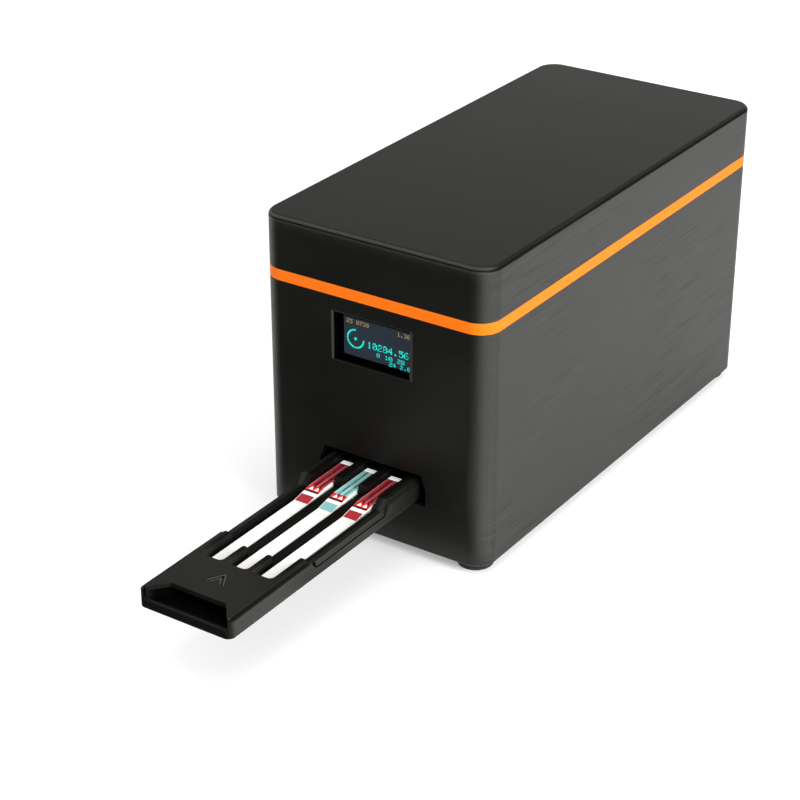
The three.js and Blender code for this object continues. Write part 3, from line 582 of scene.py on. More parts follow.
@dataclass(frozen=True)
class CircuitLaminate:
    """Green circuit board: solder mask over a faint pattern of copper tracks."""

    name: str
    mask: str = "1d4b33"
    track: str = "2b6a48"
    roughness: float = 0.35
    coat: float = 0.3
    depth: float = 0.02
    lengthwise: Grain = Grain((900.0, 260.0, 260.0), 0.0)
    crosswise: Grain = Grain((260.0, 900.0, 260.0), 0.0)
    lengthwise_over: float = 0.55
    crosswise_over: float = 0.62
    fine: Grain = Grain(even(2200.0))
    rough_fine: float = 0.1
    high_fine: float = 0.2

    def material(self) -> bpy.types.Material:
        """Makes the material.

        Returns:
            The material.
        """
        recipe = Recipe.named(self.name)
        point = recipe.place()
        lines = recipe.grain(point, self.lengthwise) > self.lengthwise_over
        copper = lines.most(recipe.grain(point, self.crosswise) > self.crosswise_over)
        fine = recipe.grain(point, self.fine)
        shade = recipe.blend(copper, ink(self.mask), ink(self.track))
        return recipe.surface(shade, fine * self.rough_fine + self.roughness,
                              Coat_Weight=self.coat,
                              Normal=recipe.relief(copper + fine * self.high_fine, self.depth))


@dataclass(frozen=True)
class PrintedRow:
    """A line along a strip, used for print and for a painted highlight: its place and fade as
    shares of the strip's half width.
    """

    place: float
    fade: Pair

    def mask(self, offset: Wire) -> Wire:
        """One on the line and zero beside it."""
        return abs(offset - self.place).rise(*self.fade)


@dataclass(frozen=True)
class PrintedFilm:
    """Printed film on a strip, with paler long edges and, on a label, darker rows of fine marks and
    a painted highlight line.

    Centre and half say where the film lies, in millimetres. Wear is the shares of the rim and
    of the wash.
    """

    name: str
    colour: str
    edge: str
    marks: str = ""
    centre: float = 0.0
    half: float = 400.0
    # A painted glow that brightens the print where the case shades it.
    painted_glow: float = 0.0
    roughness: float = 0.38
    level: float = 0.35
    depth: float = 0.004
    rim: Pair = (0.62, 1.0)
    dots: Grain = Grain(even(1500.0))
    wash: Grain = Grain((500.0, 120.0, 500.0), step=(0.35, 0.7))
    ticks: Grain = Grain((700.0, 1500.0, 10.0), 1.0, step=(0.34, 0.5))
    breaks: Grain = Grain((200.0, 500.0, 10.0), 1.0, step=(0.3, 0.5))
    row: PrintedRow = PrintedRow(-0.3, (0.2, 0.08))
    rule: PrintedRow = PrintedRow(0.45, (0.16, 0.06))
    painted_gleam: PrintedRow = PrintedRow(0.1, (0.2, 0.04))
    wear: Shares = (0.7, 0.2)
    painted_gleam_share: float = 0.7
    marks_share: float = 0.88
    rough_dots: float = 0.12

    def material(self) -> bpy.types.Material:
        """Makes the material.

        Returns:
            The material.
        """
        recipe = Recipe.named(self.name)
        point = recipe.place()
        x = recipe.parts(point)[0]
        offset = (x - self.centre * MM) / (self.half * MM)
        rim = abs(offset).rise(*self.rim)
        dots, wash = recipe.grain(point, self.dots), recipe.grain(point, self.wash)
        shade = recipe.blend(weighed(self.wear, rim, wash), ink(self.colour), ink(self.edge))
        if self.marks:
            row = self.row.mask(offset) * recipe.grain(point, self.ticks)
            rule = self.rule.mask(offset) * recipe.grain(point, self.breaks)
            # A painted highlight line along the label, in its paler edge colour.
            painted_gleam = self.painted_gleam.mask(offset)
            shade = recipe.blend(painted_gleam * self.painted_gleam_share, shade, ink(self.edge))
            shade = recipe.blend((row + rule) * self.marks_share, shade, ink(self.marks))
        return recipe.surface(shade, dots * self.rough_dots + self.roughness,
                              Specular_IOR_Level=self.level, Emission_Color=ink(self.colour),
                              Emission_Strength=self.painted_glow,
                              Normal=recipe.relief(dots, self.depth))


@dataclass(frozen=True)
class DisplayFace:
    """Dark glass over a small self-lit panel whose lit area has a faint pixel grid.

    Centre and half are the lit area's middle in metres and half its size in millimetres.
    Shining is the shares of the pixel grid and of the clouds.
    """

    name: str
    centre: Point
    half: Pair
    border: str = "020203"
    panel: str = "272f37"
    haze: str = "1b222a"
    pitch: float = 0.17
    roughness: float = 0.09
    level: float = 0.4
    smear: Grain = Grain(even(260.0), 3.0, step=(0.35, 0.75))
    cloud: Grain = Grain(even(90.0), step=(0.3, 0.7))
    shining: Shares = (0.2, 0.15)
    shining_plain: float = 0.65
    rough_smear: float = 0.07

    def material(self) -> bpy.types.Material:
        """Makes the material.

        Returns:
            The material.
        """
        recipe = Recipe.named(self.name)
        point = recipe.place()
        x, _, z = recipe.parts(point)
        lit = ((abs(x - self.centre[0]) < self.half[0] * MM)
               * (abs(z - self.centre[2]) < self.half[1] * MM))
        grid = x.ripple(self.pitch * MM) * z.ripple(self.pitch * MM)
        smear, cloud = recipe.grain(point, self.smear), recipe.grain(point, self.cloud)
        share = weighed(self.shining, grid, cloud) + self.shining_plain
        shade = recipe.blend(lit * share, ink(self.border), ink(self.panel))
        glow = recipe.blend(lit, ink("000000"), ink(self.haze))
        return recipe.surface(shade, smear * self.rough_smear + self.roughness,
                              Specular_IOR_Level=self.level, Emission_Color=glow,
                              Emission_Strength=1.0)


@dataclass(frozen=True)
class LitPixels:
    """Pixels of the display that shine in one colour."""

    name: str
    colour: str
    strength: float = 1.0
    unlit: str = "06090c"
    roughness: float = 0.3
    flicker: Grain = Grain(even(900.0), 1.0, step=(0.2, 0.8))
    dimmed: float = 0.3

    def material(self) -> bpy.types.Material:
        """Makes the material.

        Returns:
            The material.
        """
        recipe = Recipe.named(self.name)
        flicker = recipe.grain(recipe.place(), self.flicker)
        glow = recipe.blend(flicker * self.dimmed, ink(self.colour), ink("000000"))
        return recipe.surface(ink(self.unlit), self.roughness, Emission_Color=glow,
                              Emission_Strength=self.strength)


# Painted shade: the window's inner walls and sill, the grip's mouth and the low walls among the
# strips turn matt black.
SHADE_BEHIND_WINDOW = ShadedRecess((-11.85, -36.1, 51.55), (11.85, -32.0, 65.05), (0.05, 0.3, 0.05), 1.0)
SHADE_ON_WINDOW_SILL = ShadedRecess((-11.9, -36.7, 51.42), (11.9, -32.0, 51.66), (0.1, 0.1, 0.1), 0.85)
SHADE_IN_GRIP_MOUTH = ShadedRecess((-12.4, -112.5, 17.0), (12.4, -102.5, 20.8), (0.1, 2.5, 0.3), 0.95)
SHADE_AMONG_STRIPS = ShadedRecess((-11.6, -88.0, 17.0), (11.6, -20.0, 24.0), (0.8, 8.0, 0.5), 0.6)


class Finish(Enum):
    """The finishes that CAD solids and added pieces share."""

    CASE = LayeredPlastic("case_plastic", "0c0c0b", "1c1c1a")
    COVER = LayeredPlastic("cover_plastic", "0c0c0b", "1c1c1a", lip=Lip())
    HOUSING = LayeredPlastic("housing_plastic", "0c0c0b", "1c1c1a", window=Window(),
                             shaded_recesses=(SHADE_BEHIND_WINDOW, SHADE_ON_WINDOW_SILL))
    TRAY = LayeredPlastic("tray_plastic", "0c0c0b", "1b1b18", 0.46, 0.35,
                          shaded_recesses=(SHADE_IN_GRIP_MOUTH,))
    HOLDER = LayeredPlastic("holder_plastic", "0c0c0b", "1b1b18", 0.46, 0.35,
                            shaded_recesses=(SHADE_IN_GRIP_MOUTH, SHADE_AMONG_STRIPS))
    # Light grey of the painted highlight beside the engraved arrow.
    RIM = SmoothPlastic("mark_rim_highlight", "3a3a35", "4c4c46", roughness=0.5, level=0.38)
    # Matt black of the painted shadow in the lip's groove.
    GROOVE = SmoothPlastic("groove_shadow", "050505", "080808", roughness=0.9, level=0.1)
    INSIDE = SmoothPlastic("inner_plastic", "0e0e0f", "161617", roughness=0.6)
    BAND = SmoothPlastic("band_plastic", "ff7500", "ff7b04", roughness=0.42, level=0.14)
    RUBBER = SmoothPlastic("foot_rubber", "121211", "242422", roughness=0.8, depth=0.03)
    SWITCH = SmoothPlastic("switch_plastic", "0b0b0b", "161616", roughness=0.28)
    LAMPS = SmoothPlastic("lamp_white", "f0eee4", "e2dfd2")
    STEEL = PlatedSteel("plated_steel")
    GOLD = PlatedSteel("gold_contacts", "d9ad55", "b98d3c")
    BOARD = CircuitLaminate("board_laminate")
    CARD = StripCard("strip_card")
    BAND_PRINT = PrintedFilm("print_signal_red", "e0241c", "e8382a")
    LINE_PRINT = PrintedFilm("print_line_black", "141212", "1d1a1a")
    # The white end patches carry a painted glow against the case's shade.
    WHITE_PRINT = PrintedFilm("print_white", "fffdf9", "f6f3ee", painted_glow=0.22)
    CYAN_PIXELS = LitPixels("pixels_cyan", "19e6d8", 1.25)
    AMBER_PIXELS = LitPixels("pixels_amber", "b09a68", 0.95)


@cache
def coat(finish: object) -> bpy.types.Material:
    """The material of a member of Finish, or of a finish of its own, made on first use."""
    return (finish.value if isinstance(finish, Finish) else finish).material()


def dress(name: str, finish: object) -> bpy.types.Object:
    """Gives a CAD solid its finish.

    Args:
        name: the node's name.
        finish: its finish.

    Returns:
        The node's object.
    """
    piece = FRAME["nodes"][name]
    material = coat(finish)
    piece.data.materials.clear()
    piece.data.materials.append(material)
    LOG.info("%s: %s", name, material.name)
    return piece


WELD_REACH = 0.002
BEVEL_STEPS = 2
FLAT_DEGREES = 0.3
SHARP_DEGREES = 32.0
FACE_WEIGHT = 80


def ease(piece: bpy.types.Object, width: float) -> None:
    """Rounds a solid's sharp edges a little and smooths its curved faces, with modifiers alone.

    Args:
        piece: the object.
        width: how wide each rounded edge is, in millimetres.
    """
    piece.data.polygons.foreach_set("use_smooth", [True] * len(piece.data.polygons))
    modifiers = {
        "WELD": {"merge_threshold": WELD_REACH * MM},
        "DECIMATE": {"decimate_type": "DISSOLVE", "angle_limit": math.radians(FLAT_DEGREES)},
        "BEVEL": {"width": width * MM, "segments": BEVEL_STEPS, "limit_method": "ANGLE",
                  "angle_limit": math.radians(SHARP_DEGREES), "use_clamp_overlap": True,
                  "miter_outer": "MITER_ARC"},
        "WEIGHTED_NORMAL": {"keep_sharp": False, "weight": FACE_WEIGHT},
    }
    for kind, settings in modifiers.items():
        modifier = piece.modifiers.new(kind.lower(), kind)
        for name, value in settings.items():
            setattr(modifier, name, value)


class Slabs:
    """Collects closed blocks of several finishes into one mesh, with points in metres."""

    def __init__(self) -> None:
        """Starts with no block."""
        self.vertices: list[Point] = []
        self.faces: list[tuple[int, ...]] = []
        self.which: list[int] = []

    def prism(self, base: Sequence[Vector], lift: Vector, finish: int = 0) -> None:
        """Adds a block whose base outline is moved along a vector.

        Args:
            base: the base outline, anticlockwise when seen from the side that it is lifted to.
            lift: how the top lies from the base.
            finish: the place of its finish.
        """
        start, count = len(self.vertices), len(base)
        self.vertices += [tuple(p) for p in base] + [tuple(p + lift) for p in base]
        self.faces.append(tuple(start + i for i in reversed(range(count))))
        self.faces.append(tuple(start + count + i for i in range(count)))
        for i in range(count):
            j = (i + 1) % count
            self.faces.append((start + i, start + j, start + count + j, start + count + i))
        self.which += [finish] * (count + 2)

    def piece(self, name: str, body: str, slot: str, *finishes: object) -> None:
        """Makes the blocks one piece that rides on a body.

        Args:
            name: the piece's name.
            body: the CAD body that carries it.
            slot: the record's material slot; not used.
            finishes: its finishes.
        """
        mesh = bpy.data.meshes.new(name)
        mesh.from_pydata(self.vertices, [], self.faces)
        for finish in finishes:
            mesh.materials.append(coat(finish))
        mesh.polygons.foreach_set("material_index", self.which)
        mesh.validate()
        mesh.update()
        piece = bpy.data.objects.new(name, mesh)
        bpy.context.scene.collection.objects.link(piece)
        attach(piece, body)
        LOG.info("%s: %d faces on %s", name, len(mesh.polygons), body)


@dataclass
class CaseShell:
    """The printed case: housing, cover, base plate and the band between them.

    The groove holds a thin matt black ribbon, a painted shadow. Its two edges are each given by
    how far below the top and how far in they lie.
    """

    edge: float = 0.22
    seam: float = 0.12
    corner: float = 6.0
    corner_steps: int = 12
    groove_upper: Pair = (0.75, 0.121)
    groove_lower: Pair = (1.0, 0.054)
    groove_stand: float = 0.03
    groove_root: float = 0.12

    def build(self) -> None:
        """Dresses the shell's solids, eases their edges and lays the painted shadow in the groove.
        """
        ease(dress("lower_housing", Finish.HOUSING), self.edge)
        ease(dress("base_plate", Finish.CASE), self.edge)
        ease(dress("top_cover", Finish.COVER), self.seam)
        ease(dress("accent_band", Finish.BAND), self.seam)
        self.lip_groove_shadow()
        for name in FRAME["nodes"]:
            if name.startswith("foot_"):
                ease(dress(name, Finish.RUBBER), self.seam)

    def outline(self, inset: float) -> list[Pair]:
        """The cover's plan outline, drawn in by a distance.

        Args:
            inset: the distance, in millimetres.

        Returns:
            Points in metres, anticlockwise from above.
        """
        low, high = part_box("top_cover")
        radius = (self.corner - inset) * MM
        corners = ((high.x, high.y), (low.x, high.y), (low.x, low.y), (high.x, low.y))
        points = []
        for quarter, (x, y) in enumerate(corners):
            x -= math.copysign(self.corner * MM, x)
            y -= math.copysign(self.corner * MM, y)
            for step in range(self.corner_steps + 1):
                angle = math.pi / 2 * (quarter + step / self.corner_steps)
                points.append((x + radius * math.cos(angle), y + radius * math.sin(angle)))
        return points

    def lip_groove_shadow(self) -> None:
        """Draws a thin matt black ribbon, a painted shadow, in the groove under the lip that runs
        round the cover's top edge.
        """
        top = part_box("top_cover")[1].z
        edges = (self.groove_upper, self.groove_lower)
        rows = [(down, inset - self.groove_stand) for down, inset in edges]
        rows += [(down, inset + self.groove_root) for down, inset in reversed(edges)]
        slabs = Slabs()
        for down, inset in rows:
            slabs.vertices += [(x, y, top - down * MM) for x, y in self.outline(inset)]
        count = len(slabs.vertices) // len(rows)
        for row in range(len(rows)):
            here, after = row * count, (row + 1) % len(rows) * count
            for i in range(count):
                j = (i + 1) % count
                slabs.faces.append((here + i, after + i, after + j, here + j))
        slabs.which = [0] * len(slabs.faces)
        slabs.piece("cover_lip_groove_shadow", "case", "case_black", Finish.GROOVE)


@dataclass(frozen=True)
class Readout:
    """A plain dot-matrix number on the display. Places and sizes are in the display's pixels."""

    text: str
    left: int
    top: int
    wide: float = 1.0
    tall: float = 1.0

    ADVANCE = 6
    ROWS = {
        "0": "01110 10001 10011 10101 11001 10001 01110",
        "1": "00100 01100 00100 00100 00100 00100 01110",
        "2": "01110 10001 00001 00110 01000 10000 11111",
        "3": "01110 10001 00001 00110 00001 10001 01110",
        "4": "00010 00110 01010 10010 11111 00010 00010",
        "5": "11111 10000 11110 00001 00001 10001 01110",
        "6": "00110 01000 10000 11110 10001 10001 01110",
        "7": "11111 00001 00010 00100 01000 01000 01000",
        "8": "01110 10001 10001 01110 10001 10001 01110",
        ".": "00000 00000 00000 00000 00000 01100 01100",
        " ": "",
    }

    def dots(self) -> Iterable[Pixel]:
        """Lists the pixels that shine for the number.

        Returns:
            Column and row of each lit pixel, with rows counted downwards.
        """
        for place, letter in enumerate(self.text):
            for row, line in enumerate(self.ROWS[letter].split()):
                for column, dot in enumerate(line, place * self.ADVANCE):
                    if dot == "1":
                        for i in range(round(column * self.wide), round((column + 1) * self.wide)):
                            for j in range(round(row * self.tall), round((row + 1) * self.tall)):
                                yield (self.left + i, self.top + j)


@dataclass(frozen=True)
class Ring:
    """An open ring with a dot in it, a plain sign for a running test, in the display's pixels."""

    column: int = 21
    row: int = 34
    radius: int = 16
    stroke: float = 2.6
    dot: float = 2.4

    def dots(self) -> Iterable[Pixel]:
        """Lists the ring's pixels.

        Returns:
            Column and row of each lit pixel.
        """
        span = range(-self.radius, self.radius + 1)
        for i in span:
            for j in span:
                reach = math.hypot(i, j)
                opened = i > 0 and j < 0
                on_ring = self.radius - self.stroke < reach <= self.radius and not opened
                if on_ring or reach < self.dot:
                    yield (self.column + i, self.row + j)


@dataclass
class DisplayPanel:
    """The small display behind the window: dark glass, a lit area and plain numbers."""

    lit_width: float = 21.74
    lit_height: float = 10.86
    lit_shift: float = 0.6
    top_inset: float = 3.5
    columns: int = 128
    rows: int = 64
    fill: float = 0.95
    stand: float = 0.02
    amber: tuple[Readout, ...] = (Readout("25 0730", 5, 3), Readout("1.30", 98, 3))
    cyan: tuple[Ring | Readout, ...] = (
        Ring(), Readout("10284.567", 43, 33, 1.6, 1.6), Readout("0 10 20", 60, 48, 1.25),
        Readout("24 2.0", 83, 57, 1.1))

    def build(self) -> None:
        """Dresses the glass and its board, and lights the pixels."""
        low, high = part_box("display_glass")
        self.front = low.y
        self.top = high.z - self.top_inset * MM
        self.pitch = self.lit_width * MM / self.columns
        self.left = (low.x + high.x) / 2 + (self.lit_shift - self.lit_width / 2) * MM
        centre = (self.left + self.lit_width * MM / 2, 0.0, self.top - self.lit_height * MM / 2)
        half = (self.lit_width / 2, self.lit_height / 2)
        dress("display_glass", DisplayFace("display_face", centre, half))
        dress("display_board", Finish.BOARD)
        self.light("display_numbers_upper", self.amber, Finish.AMBER_PIXELS)
        self.light("display_numbers_main", self.cyan, Finish.CYAN_PIXELS)

    def light(self, name: str, signs: Iterable[Ring | Readout], finish: Finish) -> None:
        """Makes one piece of all pixels of a colour.

        Args:
            name: the piece's name.
            signs: the numbers and signs that it shows.
            finish: the lit finish.
        """
        slabs = Slabs()
        side = self.pitch * self.fill
        for column, row in sorted({dot for sign in signs for dot in sign.dots()}):
            if column >= self.columns or row >= self.rows:
                continue
            x = self.left + column * self.pitch
            z = self.top - (row + 1) * self.pitch
            base = [Vector((x, self.front, z)), Vector((x + side, self.front, z)),
                    Vector((x + side, self.front, z + side)), Vector((x, self.front, z + side))]
            slabs.prism(base, Vector((0, -self.stand * MM, 0)))
        slabs.piece(name, "case", "display_glass", finish)


@dataclass
class StripTray:
    """The sliding tray and the three-channel holder that lies in it."""

    edge: float = 0.14
    plate_top: float = 22.05
    arrow_middle: float = 0.4
    arrow_tip: float = -99.81
    arrow_length: float = 4.0
    arrow_half: float = 2.3
    arrow_stroke: float = 0.6
    # rim and rim_height: width and height of the painted highlight slabs.
    rim: float = 0.4
    rim_height: float = 0.03

    def build(self) -> None:
        """Dresses both solids, eases their edges and lays the painted highlights beside the arrow.
        """
        ease(dress("drawer_tray", Finish.TRAY), self.edge)
        ease(dress("strip_holder", Finish.HOLDER), self.edge)
        self.arrow_highlights()

    def arrow_highlights(self) -> None:
        """Lays thin, low light-grey slabs along both sides of the engraved arrow head, a painted
        highlight.
        """
        tail = self.arrow_tip - self.arrow_length
        reach = self.rim * self.arrow_length / self.arrow_half
        inner, dip = self.arrow_half - self.arrow_stroke, self.arrow_tip - 2 * self.arrow_stroke
        outlines = (
            ((self.arrow_half, tail), (self.arrow_half + self.rim, tail),
             (0.0, self.arrow_tip + reach), (0.0, self.arrow_tip)),
            ((inner - self.rim, tail), (inner, tail), (0.0, dip), (0.0, dip - reach)),
        )
        slabs = Slabs()
        for side in (-1, 1):
            for outline in outlines:
                base = [Vector(((self.arrow_middle + side * x) * MM, y * MM, self.plate_top * MM))
                        for x, y in outline[::side]]
                slabs.prism(base, Vector((0, 0, self.rim_height * MM)))
        slabs.piece("arrow_mark_highlights", "drawer", "tray_black", Finish.RIM)


class Place(Enum):
    """The three channels of the holder, from left to right."""

    LEFT = "left"
    CENTRE = "centre"
    RIGHT = "right"


@dataclass(frozen=True)
class LabelInks:
    """The colours of a strip's label and of the square patch beyond it, and their slot."""

    label: str
    label_edge: str
    marks: str
    patch: str
    patch_edge: str
    slot: str


RED_LABEL = LabelInks("98222f", "cc6c70", "30050a", "a3282f", "b2363c", "label_red")
TEAL_LABEL = LabelInks("8ac8c5", "b4dedb", "1c3f46", "84b8b6", "94c4c2", "label_teal")


@dataclass
class TestStrip:
    """One strip: white card, a thicker pad under its far end and the films printed on it.

    Distances run from the strip's far end towards the grip, and a corner is how far it lies right
    of the middle and from that end. The pad sinks by the drop over its full part and slopes down
    to the card over the rest of its length.
    """

    place: Place
    inks: LabelInks
    full: float = 15.1
    length: float = 22.6
    drop: float = 0.1
    end_patch: Pair = (0.05, 1.8)
    label: Pair = (1.85, 15.4)
    band: Pair = (15.45, 17.35)
    line: Pair = (17.35, 17.95)
    square: Pair = (19.3, 22.4)
    film: float = 0.04
    margin: float = 0.06
    square_half: float = 2.0
    arrow_width: float = 1.35
    arrow_height: float = 1.25
    arrow_spread: float = 0.85
    tick_across: Pair = (0.2, 0.75)
    tick_start: float = 0.05
    tick_length: float = 0.5

    def build(self) -> None:
        """Dresses the card and the pad, and lays the printed films on the pad."""
        name = self.place.value
        dress(f"test_strip_{name}", Finish.CARD)
        dress(f"absorbent_pad_{name}", Finish.CARD)
        self.low, self.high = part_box(f"absorbent_pad_{name}")
        self.centre = (self.low.x + self.high.x) / 2
        self.half = (self.high.x - self.low.x) / 2
        inks, width = self.inks, (self.centre / MM, self.half / MM)
        finishes = [
            Finish.WHITE_PRINT,
            PrintedFilm(f"print_label_{name}", inks.label, inks.label_edge, inks.marks, *width),
            Finish.BAND_PRINT,
            Finish.LINE_PRINT,
            PrintedFilm(f"print_patch_{name}", inks.patch, inks.patch_edge, "", *width),
        ]
        inner = self.half / MM - self.margin
        slabs = Slabs()
        for finish, span in enumerate((self.end_patch, self.label, self.band, self.line)):
            self.lay(slabs, span, inner, finish)
        self.lay(slabs, self.square, self.square_half, len(finishes) - 1)
        self.arrows(slabs, finishes.index(Finish.WHITE_PRINT), finishes.index(Finish.LINE_PRINT))
        slabs.piece(f"printed_films_{name}", "drawer", inks.slot, *finishes)

    def top(self, away: float) -> float:
        """Height of the pad's top at a distance from the far end.

        Args:
            away: the distance, in millimetres.

        Returns:
            The height, in metres.
        """
        if away <= self.full:
            return self.high.z - self.drop * MM * away / self.full
        crest = self.high.z - self.drop * MM
        share = (away - self.full) / (self.length - self.full)
        return crest + (self.low.z - crest) * share

    def mark(self, slabs: Slabs, corners: Sequence[Pair], finish: int, under: float = 0.0) -> None:
        """Prints a film or a mark over the pad, half as thick where it lies on a film."""
        base = [Vector((self.centre + right * MM, self.high.y - away * MM,
                        self.top(away) + under * MM)) for right, away in corners]
        slabs.prism(base, Vector((0, 0, (self.film - under / 2) * MM)), finish)

    def lay(self, slabs: Slabs, span: Pair, half: float, finish: int) -> None:
        """Lays a film over the pad between two distances, and bends it where the pad bends.

        Args:
            slabs: the mesh that it joins.
            span: the two distances.
            half: half its width.
            finish: the place of its finish.
        """
        stops = [span[0], *([self.full] if span[0] < self.full < span[1] else []), span[1]]
        for near, far in zip(stops, stops[1:]):
            self.mark(slabs, ((-half, far), (half, far), (half, near), (-half, near)), finish)

    def arrows(self, slabs: Slabs, white: int, black: int) -> None:
        """Prints two arrow heads on the red band, each with a small tick beside its tip.

        Args:
            slabs: the mesh that they join.
            white: the place of the arrow heads' finish.
            black: the place of the ticks' finish.
        """
        tip = (self.band[0] + self.band[1] - self.arrow_height) / 2
        tail = tip + self.arrow_height
        start = self.band[0] + self.tick_start
        end = start + self.tick_length
        for middle in (-self.arrow_spread, self.arrow_spread):
            left, right = middle - self.arrow_width / 2, middle + self.arrow_width / 2
            self.mark(slabs, ((left, tail), (right, tail), (middle, tip)), white, self.film)
            left, right = middle + self.tick_across[0], middle + self.tick_across[1]
            self.mark(slabs, ((left, end), (right, end), (right, start), (left, start)), black,
                      self.film)


@dataclass
class PowerEntry:
    """The switch and the socket in the back wall."""

    edge: float = 0.2
    contacts: int = 6
    contact_width: float = 0.28
    contact_pitch: float = 0.62
    contact_length: float = 2.6
    contact_inset: float = 1.75
    contact_rise: float = 0.35
    contact_thickness: float = 0.03

    def build(self) -> None:
        """Dresses the switch and the socket and lays the socket's contacts."""
        ease(dress("switch_frame", Finish.SWITCH), self.edge)
        ease(dress("switch_rocker", Finish.SWITCH), self.edge)
        dress("power_socket", Finish.STEEL)
        low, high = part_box("power_socket")
        middle_x, middle_z = (low.x + high.x) / 2, (low.z + high.z) / 2
        rear = high.y - self.contact_inset * MM
        inner = rear - self.contact_length * MM
        half = self.contact_width * MM / 2
        slabs = Slabs()
        for index in range(self.contacts):
            x = middle_x + (index - (self.contacts - 1) / 2) * self.contact_pitch * MM
            for side in (-1, 1):
                z = middle_z + side * self.contact_rise * MM
                base = [Vector((x - half, inner, z)), Vector((x + half, inner, z)),
                        Vector((x + half, rear, z)), Vector((x - half, rear, z))]
                slabs.prism(base[::side], Vector((0, 0, side * self.contact_thickness * MM)))
        slabs.piece("socket_contacts", "case", "bare_steel", Finish.GOLD)


@dataclass
class InnerWorks:
    """Everything behind the slot and under the cover."""

    screw_mark: str = "_screw_"

    def build(self) -> None:
        """Dresses the rails, hood, boards, sensor, stop and screws."""
        finishes = {
            "guide_rail_left": Finish.CASE, "guide_rail_right": Finish.CASE,
            "optics_hood": Finish.INSIDE, "camera_lens": Finish.INSIDE,
            "position_sensor": Finish.INSIDE, "camera_board": Finish.BOARD,
            "main_board": Finish.BOARD, "lamp_board_left": Finish.LAMPS,
            "lamp_board_right": Finish.LAMPS, "stop_bumper": Finish.RUBBER,
            "processor_module": Finish.STEEL,
        }
        finishes.update({name: Finish.STEEL for name in FRAME["nodes"] if self.screw_mark in name})
        for name, finish in finishes.items():
            dress(name, finish)


def lying(height: float, *corners: Pair) -> tuple[Point, ...]:
    """A card's corners where it lies at a height over the floor."""
    return tuple((x, y, height) for x, y in corners)


def standing(y: float, width: Pair, height: Pair) -> tuple[Point, ...]:
    """A card's corners where it stands across the reader, from left to right and up."""
    (left, right), (low, high) = width, height
    return ((left, y, low), (right, y, low), (right, y, high), (left, y, high))


class Card(Enum):
    """Cards that stand round the reader for its gloss alone, as a photographer's flags do.

    Each is its shade, its strength and its corners in metres.
    """

    FRONT_FLOOR = ("3a3a3a", 1.0, lying(
        0.0005, (-1.6, -1.8), (1.09, -1.8), (0.045, -0.104), (0.014, -0.102), (0.014, -0.073),
        (0.036, -0.066), (0.037, -0.045), (-0.045, -0.045), (-1.6, -0.61)))
    FRONT_WALL = ("3a3a3a", 1.0, standing(-1.3, (-1.6, 0.75), (0.0, 1.1)))
    CORNER_FLOOR = ("ffffff", 2.8, lying(
        0.0006, (0.04, -0.045), (0.45, -0.5), (0.75, -0.05), (0.55, 0.25), (0.04, -0.03)))
    BACK_LEFT = ("40382c", 1.0, standing(1.2, (-2.6, 0.15), (0.55, 2.2)))
    BACK_RIGHT = ("2a2a2a", 1.0, standing(1.2, (0.15, 2.4), (0.5, 2.2)))


def turned(towards: Vector) -> tuple[float, ...]:
    """The turn that points a lamp or a camera along a direction, with its top upwards."""
    return tuple(towards.to_track_quat("-Z", "Y"))


@dataclass
class Lamp:
    """One soft square lamp that faces the reader, in metres and watts."""

    name: str
    place: Point
    size: float
    power: float
    gloss: bool = True
    aim: Point = (0.0, 0.0, 0.04)

    def build(self) -> None:
        """Hangs the lamp in the studio."""
        light = bpy.data.lights.new(self.name, "AREA")
        light.size = self.size
        light.energy = self.power
        lamp = bpy.data.objects.new(self.name, light)
        lamp.location = self.place
        lamp.rotation_mode = "QUATERNION"
        lamp.rotation_quaternion = turned(Vector(self.aim) - Vector(self.place))
        lamp.visible_glossy = self.gloss
        bpy.context.scene.collection.objects.link(lamp)


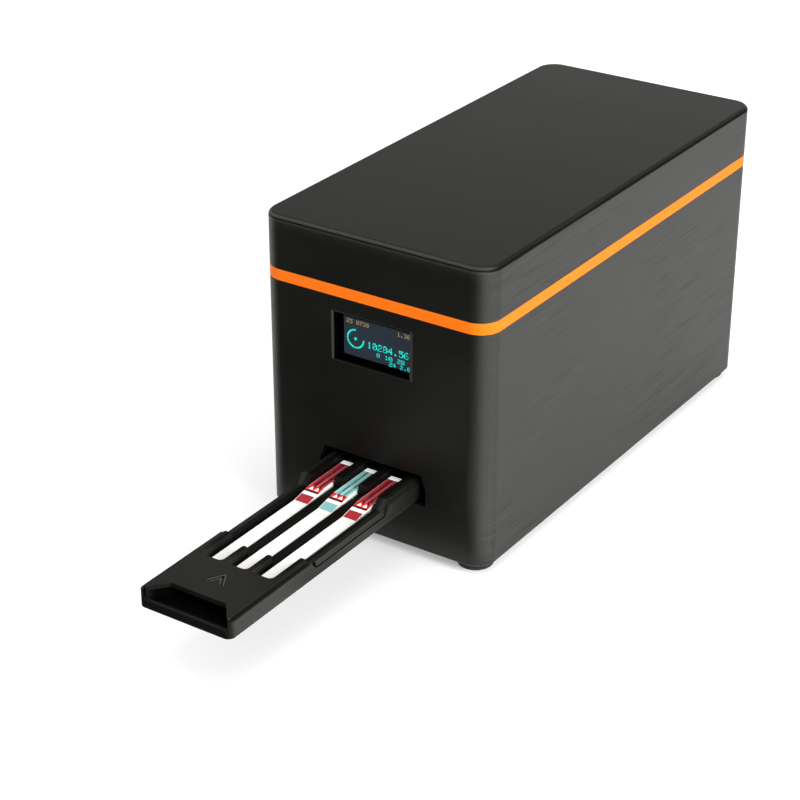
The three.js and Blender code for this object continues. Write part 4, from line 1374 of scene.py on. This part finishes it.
@dataclass
class Studio:
    """Pale floor, soft light and the camera at the photograph's angle. Lengths are metres.

    The lens and the sensor alone are in millimetres.
    """

    eye: Point = (0.280572, -0.440936, 0.296682)
    back: Point = (0.49558, -0.7375, 0.45879)
    lens: float = 96.086
    sensor: float = 36.0
    nearest: float = 0.01
    white: str = "ffffff"
    paint: str = "e6e6e6"
    glow: float = 0.3
    floor_half: float = 4.0
    floor_fade: Pair = (0.5, 1.3)
    around: float = 0.55
    hidden_from: tuple[str, ...] = ("camera", "diffuse", "shadow", "transmission")
    lamps: tuple[Lamp, ...] = (
        Lamp("key", (0.92, -0.18, 0.42), 0.6, 13.0),
        Lamp("fill", (-0.75, -0.85, 0.55), 0.8, 1.5, False),
        Lamp("top", (-0.10, 0.15, 1.10), 1.0, 7.0, False),
    )

    def build(self) -> None:
        """Builds the floor, the world, the camera, the lamps and the cards."""
        self.floor()
        self.world()
        self.camera()
        for lamp in self.lamps:
            lamp.build()
        for card in Card:
            self.card(card)

    def light(self, recipe: Recipe, kind: str, code: str, strength: float = 1.0) -> bpy.types.Node:
        """A shader, "Emission" or "Background", that shines evenly in a colour."""
        return recipe.node(f"ShaderNode{kind}", {}, {"Color": ink(code), "Strength": strength})

    def floor(self) -> None:
        """Makes the floor: white for the camera and in reflections, and shaded by the object."""
        h = self.floor_half
        recipe = Recipe.named("studio_floor")
        x, y, _ = recipe.parts(recipe.place())
        far = (x * x + y * y).math("SQRT").rise(*self.floor_fade)
        paint = recipe.node("ShaderNodeBsdfDiffuse", {}, {"Color": ink(self.paint)})
        glow = self.light(recipe, "Emission", self.white, self.glow)
        both = recipe.node("ShaderNodeAddShader", {}, {0: paint.outputs[0], 1: glow.outputs[0]})
        seen = recipe.looked_at()
        near = recipe.mixed(seen, paint, both)
        whole = recipe.mixed(seen * far, near, self.light(recipe, "Emission", self.white))
        self.sheet("studio_floor", ((-h, -h, 0), (h, -h, 0), (h, h, 0), (-h, h, 0)),
                   recipe.close(whole))

    def sheet(self, name: str, corners: Sequence[Point],
              material: bpy.types.Material) -> bpy.types.Object:
        """Makes a flat piece of the studio.

        Args:
            name: its name.
            corners: its corners.
            material: its material.

        Returns:
            The object.
        """
        mesh = bpy.data.meshes.new(name)
        mesh.from_pydata(list(corners), [], [tuple(range(len(corners)))])
        mesh.materials.append(material)
        piece = bpy.data.objects.new(name, mesh)
        bpy.context.scene.collection.objects.link(piece)
        return piece

    def card(self, card: Card) -> None:
        """Stands one card in the studio, seen by gloss alone.

        Args:
            card: which card.
        """
        name = f"studio_card_{card.name.lower()}"
        shade, strength, corners = card.value
        recipe = Recipe.named(name)
        shining = recipe.close(self.light(recipe, "Emission", shade, strength))
        sheet = self.sheet(name, corners, shining)
        for ray in self.hidden_from:
            setattr(sheet, f"visible_{ray}", False)

    def world(self) -> None:
        """Makes the surroundings: white where they are looked at, and soft light on the object."""
        world = bpy.data.worlds.new("studio_world")
        recipe = Recipe(world)
        soft = self.light(recipe, "Background", self.white, self.around)
        white = self.light(recipe, "Background", self.white)
        recipe.close(recipe.mixed(recipe.looked_at(), soft, white), "ShaderNodeOutputWorld")
        bpy.context.scene.world = world

    def camera(self) -> None:
        """Puts the camera where the photograph was taken from."""
        data = bpy.data.cameras.new("portrait")
        data.lens = self.lens
        data.sensor_width = self.sensor
        data.clip_start = self.nearest
        camera = bpy.data.objects.new("portrait", data)
        camera.location = self.eye
        camera.rotation_mode = "QUATERNION"
        camera.rotation_quaternion = turned(-Vector(self.back))
        bpy.context.scene.collection.objects.link(camera)
        bpy.context.scene.camera = camera


def main() -> None:
    """Builds the studio and then each sub-assembly of the reader."""
    logging.basicConfig(level=logging.INFO, format="%(name)s %(message)s")
    bpy.context.scene.view_settings.view_transform = "Standard"
    sub_assemblies = [
        Studio(), CaseShell(), DisplayPanel(), StripTray(),
        TestStrip(Place.LEFT, RED_LABEL), TestStrip(Place.CENTRE, TEAL_LABEL),
        TestStrip(Place.RIGHT, RED_LABEL), PowerEntry(), InnerWorks(),
    ]
    for part in sub_assemblies:
        part.build()
        LOG.info("%s built", type(part).__name__)


if __name__ == "__main__":
    main()
